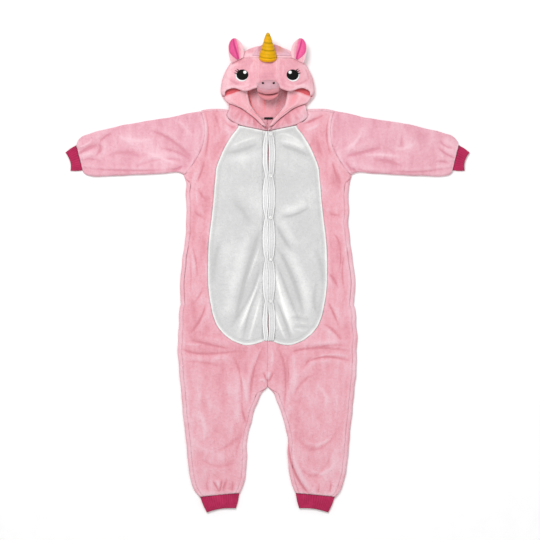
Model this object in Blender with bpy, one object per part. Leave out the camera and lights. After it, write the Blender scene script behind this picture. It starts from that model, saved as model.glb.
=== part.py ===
"""A child's unicorn onesie in plush fleece, laid flat on its back with its front up.

X runs to the wearer's left, Y to the head and Z up from the surface that it lies on. The
origin is on that surface, under the middle of the laid-out shape. Each cut piece is a wall
of cloth between two surfaces, made from a table with a row for each section. All sizes and
tables are in millimetres, given for the wearer's left side and mirrored for the right.
"""

import math
from collections import namedtuple

import bmesh
import bpy
from mathutils import Vector

MM = 0.001

# Cloth
WALL = 3.0  # plush fleece with its pile
GAP = 0.3  # between neighbouring pieces
ROLL = 4.9  # outside radius where the cloth folds round from front to back
TOP = 2 * ROLL  # height of the laid garment's upper face
RIB_WALL = 2.5  # rib knit, doubled
CUFF_ROLL = 4.0
SEAM_INSET = 10.0  # side seams and inseams lie this far in from the folded edge
SINK = TOP - 2 * WALL - GAP  # the upper layer comes down this far to lie on the lower
SINK_RUN = 40.0  # and does so over this distance from its rolled edges
MERGE = 0.001

# Armhole, from the shoulder fold down to the underarm
ARMHOLE_TOP = (161, 390)
ARMHOLE_FOOT = (200, 236)
ARMHOLE_BOW = -26
FRONT_STATIONS = 7
BACK_STATIONS = 5
ROLL_STATIONS = 3
FRONT_COLUMNS = 6
BACK_COLUMNS = 8
CUFF_STATIONS = (3, 3)

# Chest
BELLY_COLUMNS = 5
PLACKET_WIDTH = 15
PLACKET_STEP = 1.5  # the doubled bands stand this much above the belly
PLACKET_WALL = 4.4
PLACKET_TOP = 341
PLACKET_FOOT = -163
SNAP_X = 7.5
SNAP_TOP = 334
SNAP_PITCH = 100.5
SNAP_COUNT = 5
SNAP_RADIUS = 5
SNAP_TAPER = 0.8
SNAP_HEIGHT = 1.6
LABEL_SIZE = (20, 4.6, 1.0)
LABEL_PLACE = (2.4, 372)

# Hood: the upper half of an ellipsoid for the face, pressed flat on the floor at the back
HOOD_Y = 434
HOOD_RADIUS = 113
HOOD_RIM = 16
FACE_HEIGHT = 38
BACK_DEPTH = 30
FACE_SEAM_X = 25
CROWN_SEAM_Y = 516
BRIM_Y = 438.5
BRIM_WAVE = 4
BRIM_PERIOD = 60
BRIM_DIP_X = 54
SIDE_COLUMNS = 6
CENTRE_COLUMNS = 4
FACE_ROWS = 6
CROWN_ROWS = 4
BACK_HOOD_COLUMNS = 12
BACK_HOOD_ROWS = 5
NECK_CORNER_RISE = 6
NECK_CORNER_INSET = 1.2
BORDER_COLUMNS = 4
BORDER_SWELL = 4
NECK_COLUMNS = 3
CROWN_LATITUDE = math.asin((CROWN_SEAM_Y - HOOD_Y) / HOOD_RADIUS)

# Face details
EYE_PLACE = (60, 474)
EYE_RADIUS = 13
EYE_WHITE_SHIFT = (1.6, -2.4)
EYE_WHITE_MARGIN = 0.8
EYE_LAYER = 1.0
DISC_COLUMNS = 12
GLINT_PLACE = (54, 480)
GLINT_RADIUS = 4
MUZZLE_X = 2
MUZZLE_HALF = 26.5
MUZZLE_TOP = 461
MUZZLE_SHOULDER = 444
MOUTH_Y = 434
MOUTH_SAG = 7
MUZZLE_ROUNDING = 0.8
MUZZLE_EDGE = 3
MUZZLE_HEIGHT = 15
MUZZLE_COLUMNS = 10
MUZZLE_ROWS = 5
LIP_HALF = 25
LIP_ROWS = 3
LIP_END_WIDTH = 3
LIP_MORE_WIDTH = 8
LIP_BASE = 41
LIP_EDGE = 6
LIP_SWELL = 7
STUFFED_EDGE = 0.13  # of a half wave, left off at each edge of a stuffed piece
NOSTRIL_PLACE = (13, 453)
NOSTRIL_RADIUS = 2.6
NOSTRIL_TAPER = 0.6
NOSTRIL_DEPTH = 1.2
NOSTRIL_LIFT = 2
HORN_BASE = (1, 513.6)
HORN_BASE_HEIGHT = 28
HORN_RADIUS = 21
HORN_LENGTH = 71
HORN_TILT = math.radians(28)
HORN_COLUMNS = 16
HORN_FACE_CLEAR = 1.2
HORN_MANE_CLEAR = 7
HORN_MANE_Y = 514
EAR_FOOT = (72, 509)
EAR_TIP = (79, 562)
EAR_FOOT_HEIGHT = 36
EAR_RISE = 5
EAR_CUP = 4
EAR_WALL = 5
EAR_CLEAR = 1.2
EAR_SLANT = 0.5
EAR_COLUMNS = 6
LINING_SPAN = (1 / 12, 2 / 3)  # the bright lining's share of the ear's width
LINING_WALL = 1.0
LINING_COLUMNS = 4
MANE_TURNS = (math.radians(42), math.radians(118))
MANE_LATITUDES = (CROWN_LATITUDE + math.radians(1.7), math.radians(80))
MANE_COLUMNS = 8
MANE_CLEAR = 0.5
MANE_WALL = 4

ArmholeRow = namedtuple("ArmholeRow", "inner_x inner_y")
# Neckline, then the top of the belly seam, at each front station of the armhole
FRONT_ARMHOLE = [
    ArmholeRow(95, 388),
    ArmholeRow(98, 378),
    ArmholeRow(88, 365),
    ArmholeRow(70, 355),
    ArmholeRow(86, 331),
    ArmholeRow(102, 305),
    ArmholeRow(116, 274),
    ArmholeRow(124, 250),
]
# Back neckline, then the centre back seam, at each back station of the armhole
BACK_ARMHOLE = [
    ArmholeRow(95, 388),
    ArmholeRow(66, 378),
    ArmholeRow(35, 370),
    ArmholeRow(0, 368),
    ArmholeRow(0, 330),
    ArmholeRow(0, 295),
]

BodyRow = namedtuple("BodyRow", "edge_x edge_y seam_x seam_y back_y side_wrap")
# From the underarm to the crotch: the folded edge, the belly or centre front seam, the
# centre back, and how far the back has wrapped round the edge to the side seam
BODY_ROWS = [
    BodyRow(197.5, 230, 126, 228, 264, 0.5),
    BodyRow(196, 216, 128, 208, 240, 1),
    BodyRow(196, 187, 130, 182, 208, 1),
    BodyRow(195, 139, 135, 134, 155, 1),
    BodyRow(198, 79, 142, 74, 90, 1),
    BodyRow(206, 26, 144, 19, 32, 1),
    BodyRow(210, -29, 143, -34, -25, 1),
    BodyRow(209, -72, 138, -72, -68, 1),
    BodyRow(213, -108, 129, -110, -100, 1),
    BodyRow(214, -132, 117, -134, -122, 1),
    BodyRow(215, -149, 100, -152, -138, 1),
    BodyRow(215, -163, 80, -165, -152, 1),
    BodyRow(215, -175, 56, -173, -164, 1),
    BodyRow(215, -186, 34, -172, -176, 1),
    BodyRow(215, -196, PLACKET_WIDTH, -166, -188, 1),
    BodyRow(214.5, -208, 0, -163, -200, 1),
    BodyRow(213, -226, 0, -197, -220, 1),
    BodyRow(212, -245, 0, -232, -240, 1),
    BodyRow(210, -262, 0, -257, -257, 1),
]
BELLY_FIRST_STATION = 3
BELLY_LAST_ROW = 13
# Where each belly row, and the last one at the foot of the belly seam, meets the placket
BELLY_PLACKET_Y = [342, 318, 294, 266, 243, 224, 205, 178, 130, 72, 17, -36, -74, -106]
BELLY_PLACKET_Y += [-126, -141, -152, -160, -166]

LegRow = namedtuple("LegRow", "edge_x edge_y inner_x inner_y inner_wrap")
# From the crotch to the ankle: the outer and the inner folded edge
LEG_ROWS = [
    LegRow(209, -276, 3, -274, 0.5),
    LegRow(207.5, -290, 14, -289, 1),
    LegRow(206, -308, 22, -308, 1),
    LegRow(204, -329, 32, -329, 1),
    LegRow(201, -358, 40, -358, 1),
    LegRow(197, -395, 48, -395, 1),
    LegRow(193, -444, 49, -444, 1),
    LegRow(187, -486, 53, -486, 1),
    LegRow(180, -512, 59, -510, 1),
    LegRow(173, -526, 63, -521, 1),
    LegRow(163, -538, 67, -529, 1),
]

TubeRow = namedtuple("TubeRow", "top_x top_y foot_x foot_y bow roll")
# Sections of the sleeve, between its upper and its lower folded edge
SLEEVE_ROWS = [
    TubeRow(*ARMHOLE_TOP, *ARMHOLE_FOOT, ARMHOLE_BOW, ROLL),
    TubeRow(196, 383, 215, 242, -12, 5.4),
    TubeRow(239, 373, 248, 240, -5, 5.8),
    TubeRow(289, 366, 294, 237, 0, 6),
    TubeRow(344, 356, 344, 235, 0, 6),
    TubeRow(395, 344, 392, 233, 0, 5.8),
    TubeRow(428, 335, 421, 233, 0, 5.5),
    TubeRow(446, 328, 435, 236, 0, 5.2),
    TubeRow(456, 318, 442, 241, 0, 4.8),
    TubeRow(460, 308, 444.5, 246, 0, 4.4),
]
WRIST_CUFF_ROWS = [
    TubeRow(460.6, 306, 445.6, 247, 0, CUFF_ROLL),
    TubeRow(474.5, 299, 460.5, 245.5, -2, CUFF_ROLL),
    TubeRow(486, 290, 474, 246, -4, CUFF_ROLL),
]
ANKLE_CUFF_ROWS = [
    TubeRow(161, -538.4, 68, -529.7, 0, CUFF_ROLL),
    TubeRow(155, -557.5, 71, -548.5, 0, CUFF_ROLL),
    TubeRow(146, -576, 76, -566, 0, CUFF_ROLL),
]

HoodFootRow = namedtuple("HoodFootRow", "y half_width rim")
# The hood's back below its widest place, down to the neckline
HOOD_FOOT_ROWS = [
    HoodFootRow(434, 113, HOOD_RIM),
    HoodFootRow(420, 107, 15),
    HoodFootRow(408, 96, 13),
    HoodFootRow(398, 90, 10),
]

StripRow = namedtuple("StripRow", "outer_x outer_y outer_z inner_x inner_y inner_z")
# The hood's front border, from under the brim down to the throat
BORDER_ROWS = [
    StripRow(103, 446, 19, 48, 446, 26),
    StripRow(110, 430, 19.5, 47, 431, 25),
    StripRow(105, 417, 18.8, 45, 420, 24),
    StripRow(94, 408, 18.4, 41, 405, 23),
    StripRow(78, 402, 18.2, 34, 394, 22),
    StripRow(62, 395, 18, 28, 385, 21),
    StripRow(47, 384, 18, 19, 376, 20),
    StripRow(30, 371, 17.8, 11, 366, 19),
    StripRow(14, 355, 17.5, 3, 353, 18),
]
# The hood's neck, from the neckline up to where it tucks under the border
NECK_ROWS = [
    StripRow(95, 388, TOP, 88, 401, 14),
    StripRow(98, 378, TOP, 80, 401, 14),
    StripRow(88, 365, TOP, 68, 396, 14),
    StripRow(70, 355, TOP, 54, 386, 14),
    StripRow(42, 348.4, TOP, 37, 373, 13.5),
    StripRow(PLACKET_WIDTH, 342, TOP, 23, 361, 13),
    StripRow(1, 341.2, 10, 10, 350, 12.5),
]

EarRow = namedtuple("EarRow", "along half_width")
EAR_ROWS = [
    EarRow(0.0, 14.5),
    EarRow(0.2, 17.5),
    EarRow(0.45, 18.5),
    EarRow(0.7, 15.5),
    EarRow(0.88, 9.5),
    EarRow(1.0, 3.0),
]

HornRow = namedtuple("HornRow", "run radius")
# Shares of the horn's length and foot radius, from its closed foot to its tip
HORN_ROWS = [
    HornRow(0, 0),
    HornRow(0, 1),
    HornRow(0.14, 0.93),
    HornRow(0.32, 0.78),
    HornRow(0.52, 0.6),
    HornRow(0.72, 0.42),
    HornRow(0.9, 0.22),
    HornRow(1, 0),
]

SunkArea = namedtuple("SunkArea", "low_x high_x low_y high_y")
# Where the upper layer lies on the lower: trunk, chest, leg and sleeve, the same on each side
SUNK_AREAS = [
    SunkArea(-182, 182, -262, 205),
    SunkArea(-150, 150, 60, 345),
    SunkArea(62, 172, -530, -150),
    SunkArea(212, 440, 250, 340),
]

Fold = namedtuple("Fold", "start_x start_y end_x end_y width height")
# The largest folds, each a ridge or a trough that fades out at both ends
FOLDS = [
    Fold(-16, 106, -78, -120, 24, -2.2),
    Fold(-15, 40, -50, -160, 20, 3.0),
    Fold(24, 62, 84, -100, 24, -2.2),
    Fold(20, 5, 68, -158, 22, 3.0),
    Fold(32, 135, 98, 158, 22, -1.8),
    Fold(-12, -178, -47, -305, 26, 3.0),
    Fold(20, -178, 48, -290, 24, 3.0),
    Fold(-202, -190, -80, -186, 20, -1.8),
    Fold(40, -187, 200, -212, 20, -1.8),
    Fold(58, -408, 130, -536, 26, 3.0),
    Fold(-262, 332, -187, 288, 26, -2.4),
    Fold(-208, 254, -300, 256, 24, -2.0),
    Fold(190, 280, 272, 302, 26, -2.2),
    Fold(256, 262, 325, 252, 24, 2.4),
]

PINK = (0.86, 0.40, 0.47)
WHITE = (0.78, 0.78, 0.77)
MAGENTA = (0.52, 0.04, 0.12)
GOLD = (0.75, 0.42, 0.03)
LILAC = (0.70, 0.40, 0.50)
ROSE = (0.78, 0.12, 0.28)
BLACK = (0.01, 0.01, 0.01)
PEARL = (0.9, 0.9, 0.9)
PLUSH_SHINE = 0.9  # roughness of each kind of surface
FELT_SHINE = 0.8
SATIN_SHINE = 0.4
SNAP_SHINE = 0.25


def clear_scene():
    for thing in list(bpy.data.objects):
        bpy.data.objects.remove(thing)
    collection = bpy.data.collections.new("unicorn_onesie")
    bpy.context.scene.collection.children.link(collection)
    return collection


def finish_of(name, colour, roughness):
    material = bpy.data.materials.new(name)
    material.use_nodes = True
    shader = material.node_tree.nodes["Principled BSDF"]
    shader.inputs["Base Color"].default_value = (*colour, 1)
    shader.inputs["Roughness"].default_value = roughness
    shader.inputs["Metallic"].default_value = 0
    return material


def place_object(name, mesh, colour, roughness):
    """Links a finished bmesh, in millimetres, as an object with its own material."""
    bmesh.ops.recalc_face_normals(mesh, faces=mesh.faces)
    bmesh.ops.scale(mesh, vec=(MM, MM, MM), verts=mesh.verts)
    data = bpy.data.meshes.new(name)
    mesh.to_mesh(data)
    mesh.free()
    data.shade_smooth()
    data.materials.append(finish_of(name, colour, roughness))
    part = bpy.data.objects.new(name, data)
    ONESIE.objects.link(part)
    return part


def mapped_grid(columns, rows, surface):
    """A grid with each crossing at surface(u, row), and its column and row kept on it."""
    mesh = bmesh.new()
    column_of = mesh.verts.layers.int.new("column")
    row_of = mesh.verts.layers.int.new("row")
    bmesh.ops.create_grid(mesh, x_segments=columns, y_segments=rows, size=0.5)
    for vert in mesh.verts:
        vert[column_of] = round((vert.co.x + 0.5) * columns)
        vert[row_of] = round((vert.co.y + 0.5) * rows)
        vert.co = surface(vert[column_of] / columns, vert[row_of])
    bmesh.ops.remove_doubles(mesh, verts=mesh.verts, dist=MERGE)
    return mesh, column_of, row_of


def wall(name, columns, rows, outside, inside, colour, roughness=PLUSH_SHINE):
    """A closed wall of cloth between two surfaces, each given as a function of u and row."""
    mesh, column_of, row_of = mapped_grid(columns, rows, outside)
    grown = bmesh.ops.extrude_face_region(mesh, geom=mesh.faces[:], use_keep_orig=True)
    for vert in grown["geom"]:
        if isinstance(vert, bmesh.types.BMVert):
            vert.co = inside(vert[column_of] / columns, vert[row_of])
    return place_object(name, mesh, colour, roughness)


def sided(name, side):
    return f"{name}_{'left' if side > 0 else 'right'}"


def mirrored(point, side):
    return Vector((point[0] * side, point[1], point[2]))


def blend(start, end, share):
    return start + (end - start) * share


def moved_along(start, end, distance):
    """The plan point that lies a distance from start on the way to end."""
    start, end = Vector(start), Vector(end)
    return start + (end - start).normalized() * distance


def set_in(rail, towards):
    """A seam line moved half a seam gap towards the other side of its piece, ends included."""
    moved = []
    for index, point in enumerate(rail):
        before = rail[max(index - 1, 0)]
        after = rail[min(index + 1, len(rail) - 1)]
        along = (after - before).normalized()
        normal = Vector((-along.y, along.x))
        if normal.dot(towards[index] - point) < 0:
            normal = -normal
        moved.append(point + normal * GAP / 2)
    moved[0] = moved[0] + (rail[1] - rail[0]).normalized() * GAP / 2
    moved[-1] = moved[-1] + (rail[-2] - rail[-1]).normalized() * GAP / 2
    return moved


def sunk_share(x, y):
    """0 at the rolled edges, where the layers stand apart, and 1 where they touch."""
    deepest = 0
    for area in SUNK_AREAS:
        aside = min(abs(x) - area.low_x, area.high_x - abs(x))
        margin = min(aside, y - area.low_y, area.high_y - y)
        share = min(max(margin / SINK_RUN, 0), 1)
        deepest = max(deepest, share * share * (3 - 2 * share))
    return deepest


def fold_lift(x, y):
    """How far the upper layer is raised or lowered at a plan point, by its folds and weight."""
    lift = 0
    for fold in FOLDS:
        start = Vector((fold.start_x, fold.start_y))
        run = Vector((fold.end_x, fold.end_y)) - start
        offset = Vector((x, y)) - start
        along = offset.dot(run) / run.length_squared
        aside = abs(offset.cross(run)) / run.length
        if 0 < along < 1 and aside < fold.width:
            fade = math.sin(math.pi * along)
            lift += fold.height * fade * math.cos(math.pi / 2 * aside / fold.width) ** 2
    return max(lift - SINK * sunk_share(x, y), -SINK)


def front_point(plan, side, depth, lift=0):
    """A point of the upper layer, depth below its face."""
    x = plan.x * side
    return Vector((x, plan.y, TOP + lift + fold_lift(x, plan.y) - depth))


def armhole(share):
    """The armhole seam's plan point, from the shoulder fold at 0 to the underarm at 1."""
    top, foot = Vector(ARMHOLE_TOP), Vector(ARMHOLE_FOOT)
    return blend(top, foot, share) + Vector((ARMHOLE_BOW * 4 * share * (1 - share), 0))


def armhole_stations(count):
    inset = ROLL / (Vector(ARMHOLE_FOOT) - Vector(ARMHOLE_TOP)).length
    return [armhole(blend(inset, 1 - inset, step / count)) for step in range(count + 1)]


def strip_between(name, side, rails, columns, colour, lift=0, thickness=WALL):
    """A piece of the upper layer between two seam lines with matching rows."""
    outer, inner = set_in(rails[0], rails[1]), set_in(rails[1], rails[0])

    def surface(depth):
        def point(u, row):
            return front_point(blend(outer[row], inner[row], u), side, depth, lift)

        return point

    rows = len(outer) - 1
    wall(sided(name, side), columns, rows, surface(0), surface(thickness), colour)


def make_fronts(side):
    """The pink front with its leg: from the shoulder, round the belly, down to the ankle."""
    outer = armhole_stations(FRONT_STATIONS)
    inner = [Vector((row.inner_x, row.inner_y)) for row in FRONT_ARMHOLE]
    for row in BODY_ROWS:
        outer.append(Vector((row.edge_x - SEAM_INSET * row.side_wrap, row.edge_y)))
        inner.append(Vector((row.seam_x, row.seam_y)))
    for row in LEG_ROWS:
        edge, leg_edge = (row.edge_x, row.edge_y), (row.inner_x, row.inner_y)
        outer.append(moved_along(edge, leg_edge, SEAM_INSET))
        inner.append(moved_along(leg_edge, edge, SEAM_INSET * row.inner_wrap))
    strip_between("front", side, (outer, inner), FRONT_COLUMNS, PINK)


def make_belly(side):
    """The white belly, from its curved seam in to the placket."""
    seam = [Vector((row.inner_x, row.inner_y)) for row in FRONT_ARMHOLE[BELLY_FIRST_STATION:]]
    seam += [Vector((row.seam_x, row.seam_y)) for row in BODY_ROWS[: BELLY_LAST_ROW + 1]]
    placket = [Vector((PLACKET_WIDTH, y)) for y in BELLY_PLACKET_Y]
    for rail in (seam, placket):
        rail[-1].y += GAP
    strip_between("belly", side, (seam, placket), BELLY_COLUMNS, WHITE)


def make_placket(side):
    """One of the two doubled bands that close down the middle with snaps."""
    outer = [Vector((PLACKET_WIDTH, y)) for y in BELLY_PLACKET_Y]
    inner = [Vector((0, y)) for y in BELLY_PLACKET_Y]
    inner[0].y, inner[-1].y = PLACKET_TOP, PLACKET_FOOT + GAP
    outer[-1].y += GAP
    strip_between("placket", side, (outer, inner), 1, WHITE, PLACKET_STEP, PLACKET_WALL)


def edge_roll(path, wrap, depth):
    """Inward distance and height of cloth that has run a path round a folded edge."""
    turn = min(path / ROLL, math.pi)
    inward = ROLL * wrap - (ROLL - depth) * math.sin(turn) + max(path - math.pi * ROLL, 0)
    return inward, ROLL - (ROLL - depth) * math.cos(turn)


EDGE_SHARE = 3 / BACK_COLUMNS
FULL_PATH = math.pi * ROLL + SEAM_INSET - ROLL - GAP / 2


def back_section(outer, inner, wraps, u, depth):
    """A point of the back at one row: up round the edges that it wraps, flat between them."""
    outer_share, inner_share = EDGE_SHARE * wraps[0], EDGE_SHARE * wraps[1]
    along = (inner - outer).normalized() if wraps[1] else Vector((-1, 0))
    if u < outer_share:
        path = FULL_PATH * wraps[0] * (1 - u / outer_share)
        inward, height = edge_roll(path, wraps[0], depth)
        plan = outer + along * inward
    elif u > 1 - inner_share:
        path = FULL_PATH * wraps[1] * (1 - (1 - u) / inner_share)
        inward, height = edge_roll(path, wraps[1], depth)
        plan = inner - along * inward
    else:
        share = (u - outer_share) / (1 - outer_share - inner_share)
        flat_start = outer + along * ROLL * wraps[0]
        flat_end = inner - along * ROLL * wraps[1]
        plan, height = blend(flat_start, flat_end, share), depth
    return Vector((plan.x, plan.y, height))


def make_back(side):
    """The back with its leg, rolled over the shoulder, the side and the inside of the leg."""
    half_gap = GAP / 2
    sections = []
    for outer, row in zip(armhole_stations(BACK_STATIONS), BACK_ARMHOLE):
        inner = Vector((max(row.inner_x, half_gap), row.inner_y))
        sections.append((outer - Vector((half_gap, 0)), inner, (0, 0)))
    for row in BODY_ROWS:
        inner = Vector((half_gap, row.back_y))
        sections.append((Vector((row.edge_x, row.edge_y)), inner, (row.side_wrap, 0)))
    for row in LEG_ROWS:
        inner = Vector((row.inner_x, row.inner_y))
        sections.append((Vector((row.edge_x, row.edge_y)), inner, (1, row.inner_wrap)))

    def shoulder_roll(u, row, depth):
        turn = math.pi * (0.5 - row / ROLL_STATIONS)
        outer, inner, _ = sections[0]
        plan = blend(outer, inner + Vector((half_gap, 0)), u)
        reach = ROLL - depth
        lap = half_gap if row == 0 else 0
        return plan.x, plan.y + lap + reach * math.cos(turn), ROLL + reach * math.sin(turn)

    def surface(depth):
        def point(u, row):
            if row < ROLL_STATIONS:
                return mirrored(shoulder_roll(u, row, depth), side)
            outer, inner, wraps = sections[row - ROLL_STATIONS]
            return mirrored(back_section(outer, inner, wraps, u, depth), side)

        return point

    rows = ROLL_STATIONS + len(sections) - 1
    wall(sided("back", side), BACK_COLUMNS, rows, surface(0), surface(WALL), PINK)


def tube_point(row, u, depth, stations):
    """A point round a flattened tube: upper face, lower fold, under face, upper fold."""
    upper, under = stations
    total = upper + under + 2 * ROLL_STATIONS
    step = u * total
    top, foot = Vector((row.top_x, row.top_y)), Vector((row.foot_x, row.foot_y))
    inset = row.roll / (foot - top).length
    reach = row.roll - depth
    if step <= upper:
        share, height = blend(inset, 1 - inset, step / upper), row.roll + reach
    elif step <= upper + ROLL_STATIONS:
        turn = math.pi * (0.5 - (step - upper) / ROLL_STATIONS)
        share = 1 - inset + inset * reach / row.roll * math.cos(turn)
        height = row.roll + reach * math.sin(turn)
    elif step <= upper + ROLL_STATIONS + under:
        share = blend(1 - inset, inset, (step - upper - ROLL_STATIONS) / under)
        height = depth
    else:
        turn = math.pi * (-0.5 - (step - total + ROLL_STATIONS) / ROLL_STATIONS)
        share = inset + inset * reach / row.roll * math.cos(turn)
        height = row.roll + reach * math.sin(turn)
    plan = blend(top, foot, share) + Vector((row.bow * 4 * share * (1 - share), 0))
    return Vector((plan.x, plan.y, height))


def make_tube(name, side, table, stations, depth_of_wall, colour, shift):
    """A sleeve or cuff: a closed ring of cloth through its table of sections."""
    total = sum(stations) + 2 * ROLL_STATIONS

    def surface(depth):
        def point(u, row):
            place = tube_point(table[row], u % 1, depth, stations)
            place.x += shift if row == 0 else 0
            place.x *= side
            if place.z > table[row].roll and 0 < row < len(table) - 1:
                place.z += fold_lift(place.x, place.y)
            return place

        return point

    rows = len(table) - 1
    wall(sided(name, side), total, rows, surface(0), surface(depth_of_wall), colour)


def hood_dome(turn, latitude, depth):
    """A point of the hood's upper half: turn 0 is the left rim, and latitude 90 the crown."""
    ring = math.cos(latitude)
    return Vector(
        (
            (HOOD_RADIUS - depth) * ring * math.cos(turn),
            HOOD_Y + (HOOD_RADIUS - depth) * math.sin(latitude),
            HOOD_RIM + GAP / 2 + (FACE_HEIGHT - depth) * ring * math.sin(turn),
        )
    )


def dome_height(x, y):
    reach = 1 - (x * x + (y - HOOD_Y) ** 2) / HOOD_RADIUS**2
    return HOOD_RIM + FACE_HEIGHT * math.sqrt(max(reach, 0))


SEAM_LATITUDE_GAP = GAP / 2 / (HOOD_RADIUS * math.cos(CROWN_LATITUDE))


def brim_latitude(turn):
    """The wavy lower edge of the face."""
    x = abs(HOOD_RADIUS * math.cos(turn))
    wave = BRIM_WAVE * math.cos(2 * math.pi * (x - BRIM_DIP_X) / BRIM_PERIOD)
    return math.asin((BRIM_Y - wave - HOOD_Y) / HOOD_RADIUS)


def seam_turn(row_share, offset):
    """The turn of the seam beside the centre panel, an offset further out."""
    latitude = CROWN_LATITUDE * row_share
    return math.acos((FACE_SEAM_X + offset) / (HOOD_RADIUS * math.cos(latitude)))


def face_surface(turn_at, depth):
    def point(u, row):
        share = row / FACE_ROWS
        turn = turn_at(u, share)
        latitude = blend(brim_latitude(turn), CROWN_LATITUDE - SEAM_LATITUDE_GAP, share)
        return hood_dome(turn, latitude, depth)

    return point


def make_face():
    def left_turn(u, share):
        return seam_turn(share, GAP / 2) * (1 - u)

    def right_turn(u, share):
        return math.pi - left_turn(u, share)

    def centre_turn(u, share):
        start = seam_turn(share, -GAP / 2)
        return blend(start, math.pi - start, u)

    pieces = (
        ("face_left", SIDE_COLUMNS, left_turn),
        ("face_right", SIDE_COLUMNS, right_turn),
        ("face_centre", CENTRE_COLUMNS, centre_turn),
    )
    for name, columns, turn_at in pieces:
        outside, inside = face_surface(turn_at, 0), face_surface(turn_at, WALL)
        wall(name, columns, FACE_ROWS, outside, inside, PINK)


def crown_turn(u):
    """The turn at a column of the crown, which follows the face's columns."""
    column = u * (2 * SIDE_COLUMNS + CENTRE_COLUMNS)
    seam = seam_turn(1, 0)
    if column <= SIDE_COLUMNS:
        return seam * column / SIDE_COLUMNS
    if column <= SIDE_COLUMNS + CENTRE_COLUMNS:
        return blend(seam, math.pi - seam, (column - SIDE_COLUMNS) / CENTRE_COLUMNS)
    return math.pi - crown_turn(1 - u)


def make_crown():
    def surface(depth):
        def point(u, row):
            first = CROWN_LATITUDE + SEAM_LATITUDE_GAP
            latitude = blend(first, math.pi / 2, row / CROWN_ROWS)
            return hood_dome(crown_turn(u), latitude, depth)

        return point

    columns = 2 * SIDE_COLUMNS + CENTRE_COLUMNS
    wall("hood_crown", columns, CROWN_ROWS, surface(0), surface(WALL), PINK)


def make_mane():
    """Bands of coloured plush over the crown, behind the horn."""

    def surface(depth):
        def point(u, row):
            latitude = blend(*MANE_LATITUDES, row / CROWN_ROWS)
            return hood_dome(blend(*MANE_TURNS, u), latitude, depth)

        return point

    outside, inside = surface(-MANE_CLEAR - MANE_WALL), surface(-MANE_CLEAR)
    wall("mane", MANE_COLUMNS, CROWN_ROWS, outside, inside, LILAC)


def back_hood_point(half_width, y, rim, drop, turn):
    """A point of a section that hangs between the rims, before the floor flattens it."""
    return Vector((half_width * math.cos(turn), y, rim - GAP / 2 - drop * math.sin(turn)))


def neckline_point(u, depth):
    """The hood's lower edge, along the back neckline, with its two corners turned up."""
    stations = [Vector((row.inner_x, row.inner_y)) for row in BACK_ARMHOLE[:4]]
    across = abs(1 - 2 * u) * (len(stations) - 1)
    index = min(int(across), len(stations) - 2)
    plan = blend(stations[-1 - index], stations[-2 - index], across - index)
    plan.y += 2 * GAP
    height = depth
    if u in (0, 1):
        plan += Vector((-NECK_CORNER_INSET - depth, 1))
        height = NECK_CORNER_RISE
    return mirrored((plan.x, plan.y, height), 1 if u < 0.5 else -1)


def make_hood_back():
    """The back of the hood, from the crown down to the neckline, lying on the floor."""

    def dome_back(row, turn, depth):
        latitude = math.pi / 2 * (1 - row / BACK_HOOD_ROWS)
        ring = math.cos(latitude)
        half_width = (HOOD_RADIUS - depth) * ring
        y = HOOD_Y + (HOOD_RADIUS - depth) * math.sin(latitude)
        return back_hood_point(half_width, y, HOOD_RIM, (BACK_DEPTH - depth) * ring, turn)

    def neck_back(row, turn, depth):
        foot = HOOD_FOOT_ROWS[row - BACK_HOOD_ROWS]
        drop = foot.rim + BACK_DEPTH - HOOD_RIM - depth
        return back_hood_point(foot.half_width - depth, foot.y, foot.rim, drop, turn)

    def surface(depth):
        def point(u, row):
            if row == BACK_HOOD_ROWS + len(HOOD_FOOT_ROWS):
                return neckline_point(u, depth)
            shape = dome_back if row <= BACK_HOOD_ROWS else neck_back
            place = shape(row, math.pi * u, depth)
            place.z = max(place.z, depth)
            return place

        return point

    rows = BACK_HOOD_ROWS + len(HOOD_FOOT_ROWS)
    wall("hood_back", BACK_HOOD_COLUMNS, rows, surface(0), surface(WALL), PINK)


def make_hood_strip(name, side, table, columns, swell):
    """A border or neck piece of the hood, swelling between its two edges."""

    def surface(depth):
        def point(u, row):
            entry = table[row]
            outer = Vector((entry.outer_x, entry.outer_y, entry.outer_z))
            inner = Vector((entry.inner_x, entry.inner_y, entry.inner_z))
            inset = GAP / 2 / (inner - outer).length
            place = blend(outer, inner, blend(inset, 1 - inset, u))
            place.x = max(place.x, GAP / 2)
            place.z += swell * math.sin(math.pi * u) - depth
            return mirrored(place, side)

        return point

    rows = len(table) - 1
    wall(sided(name, side), columns, rows, surface(0), surface(WALL), PINK)


def disc_surface(side, centre, radius, height):
    """The surface of a round patch that follows the hood at a height above it."""

    def point(u, row):
        turn = 2 * math.pi * u
        x = centre[0] + radius * row * math.cos(turn)
        y = centre[1] + radius * row * math.sin(turn)
        return mirrored((x, y, dome_height(x, y) + height), side)

    return point


def make_eyes(side):
    """Three round layers, one on another: the white, the black and the glint."""
    layers = (
        ("eye_white", EYE_PLACE, EYE_WHITE_SHIFT, EYE_RADIUS + EYE_WHITE_MARGIN, PEARL),
        ("eye_black", EYE_PLACE, (0, 0), EYE_RADIUS, BLACK),
        ("eye_glint", GLINT_PLACE, (0, 0), GLINT_RADIUS, PEARL),
    )
    base = 2 * GAP
    for name, place, shift, radius, colour in layers:
        centre = (place[0] + shift[0], place[1] + shift[1])
        top = disc_surface(side, centre, radius, base + EYE_LAYER)
        bottom = disc_surface(side, centre, radius, base)
        wall(sided(name, side), DISC_COLUMNS, 1, top, bottom, colour, FELT_SHINE)
        base += EYE_LAYER + GAP


def mouth_y(x):
    return MOUTH_Y - MOUTH_SAG * (1 - (x / MUZZLE_HALF) ** 2)


def stuffed(share):
    """The swell of a stuffed piece, from one edge at 0 to the other at 1."""
    return math.sin(math.pi * blend(STUFFED_EDGE, 1 - STUFFED_EDGE, share))


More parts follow.
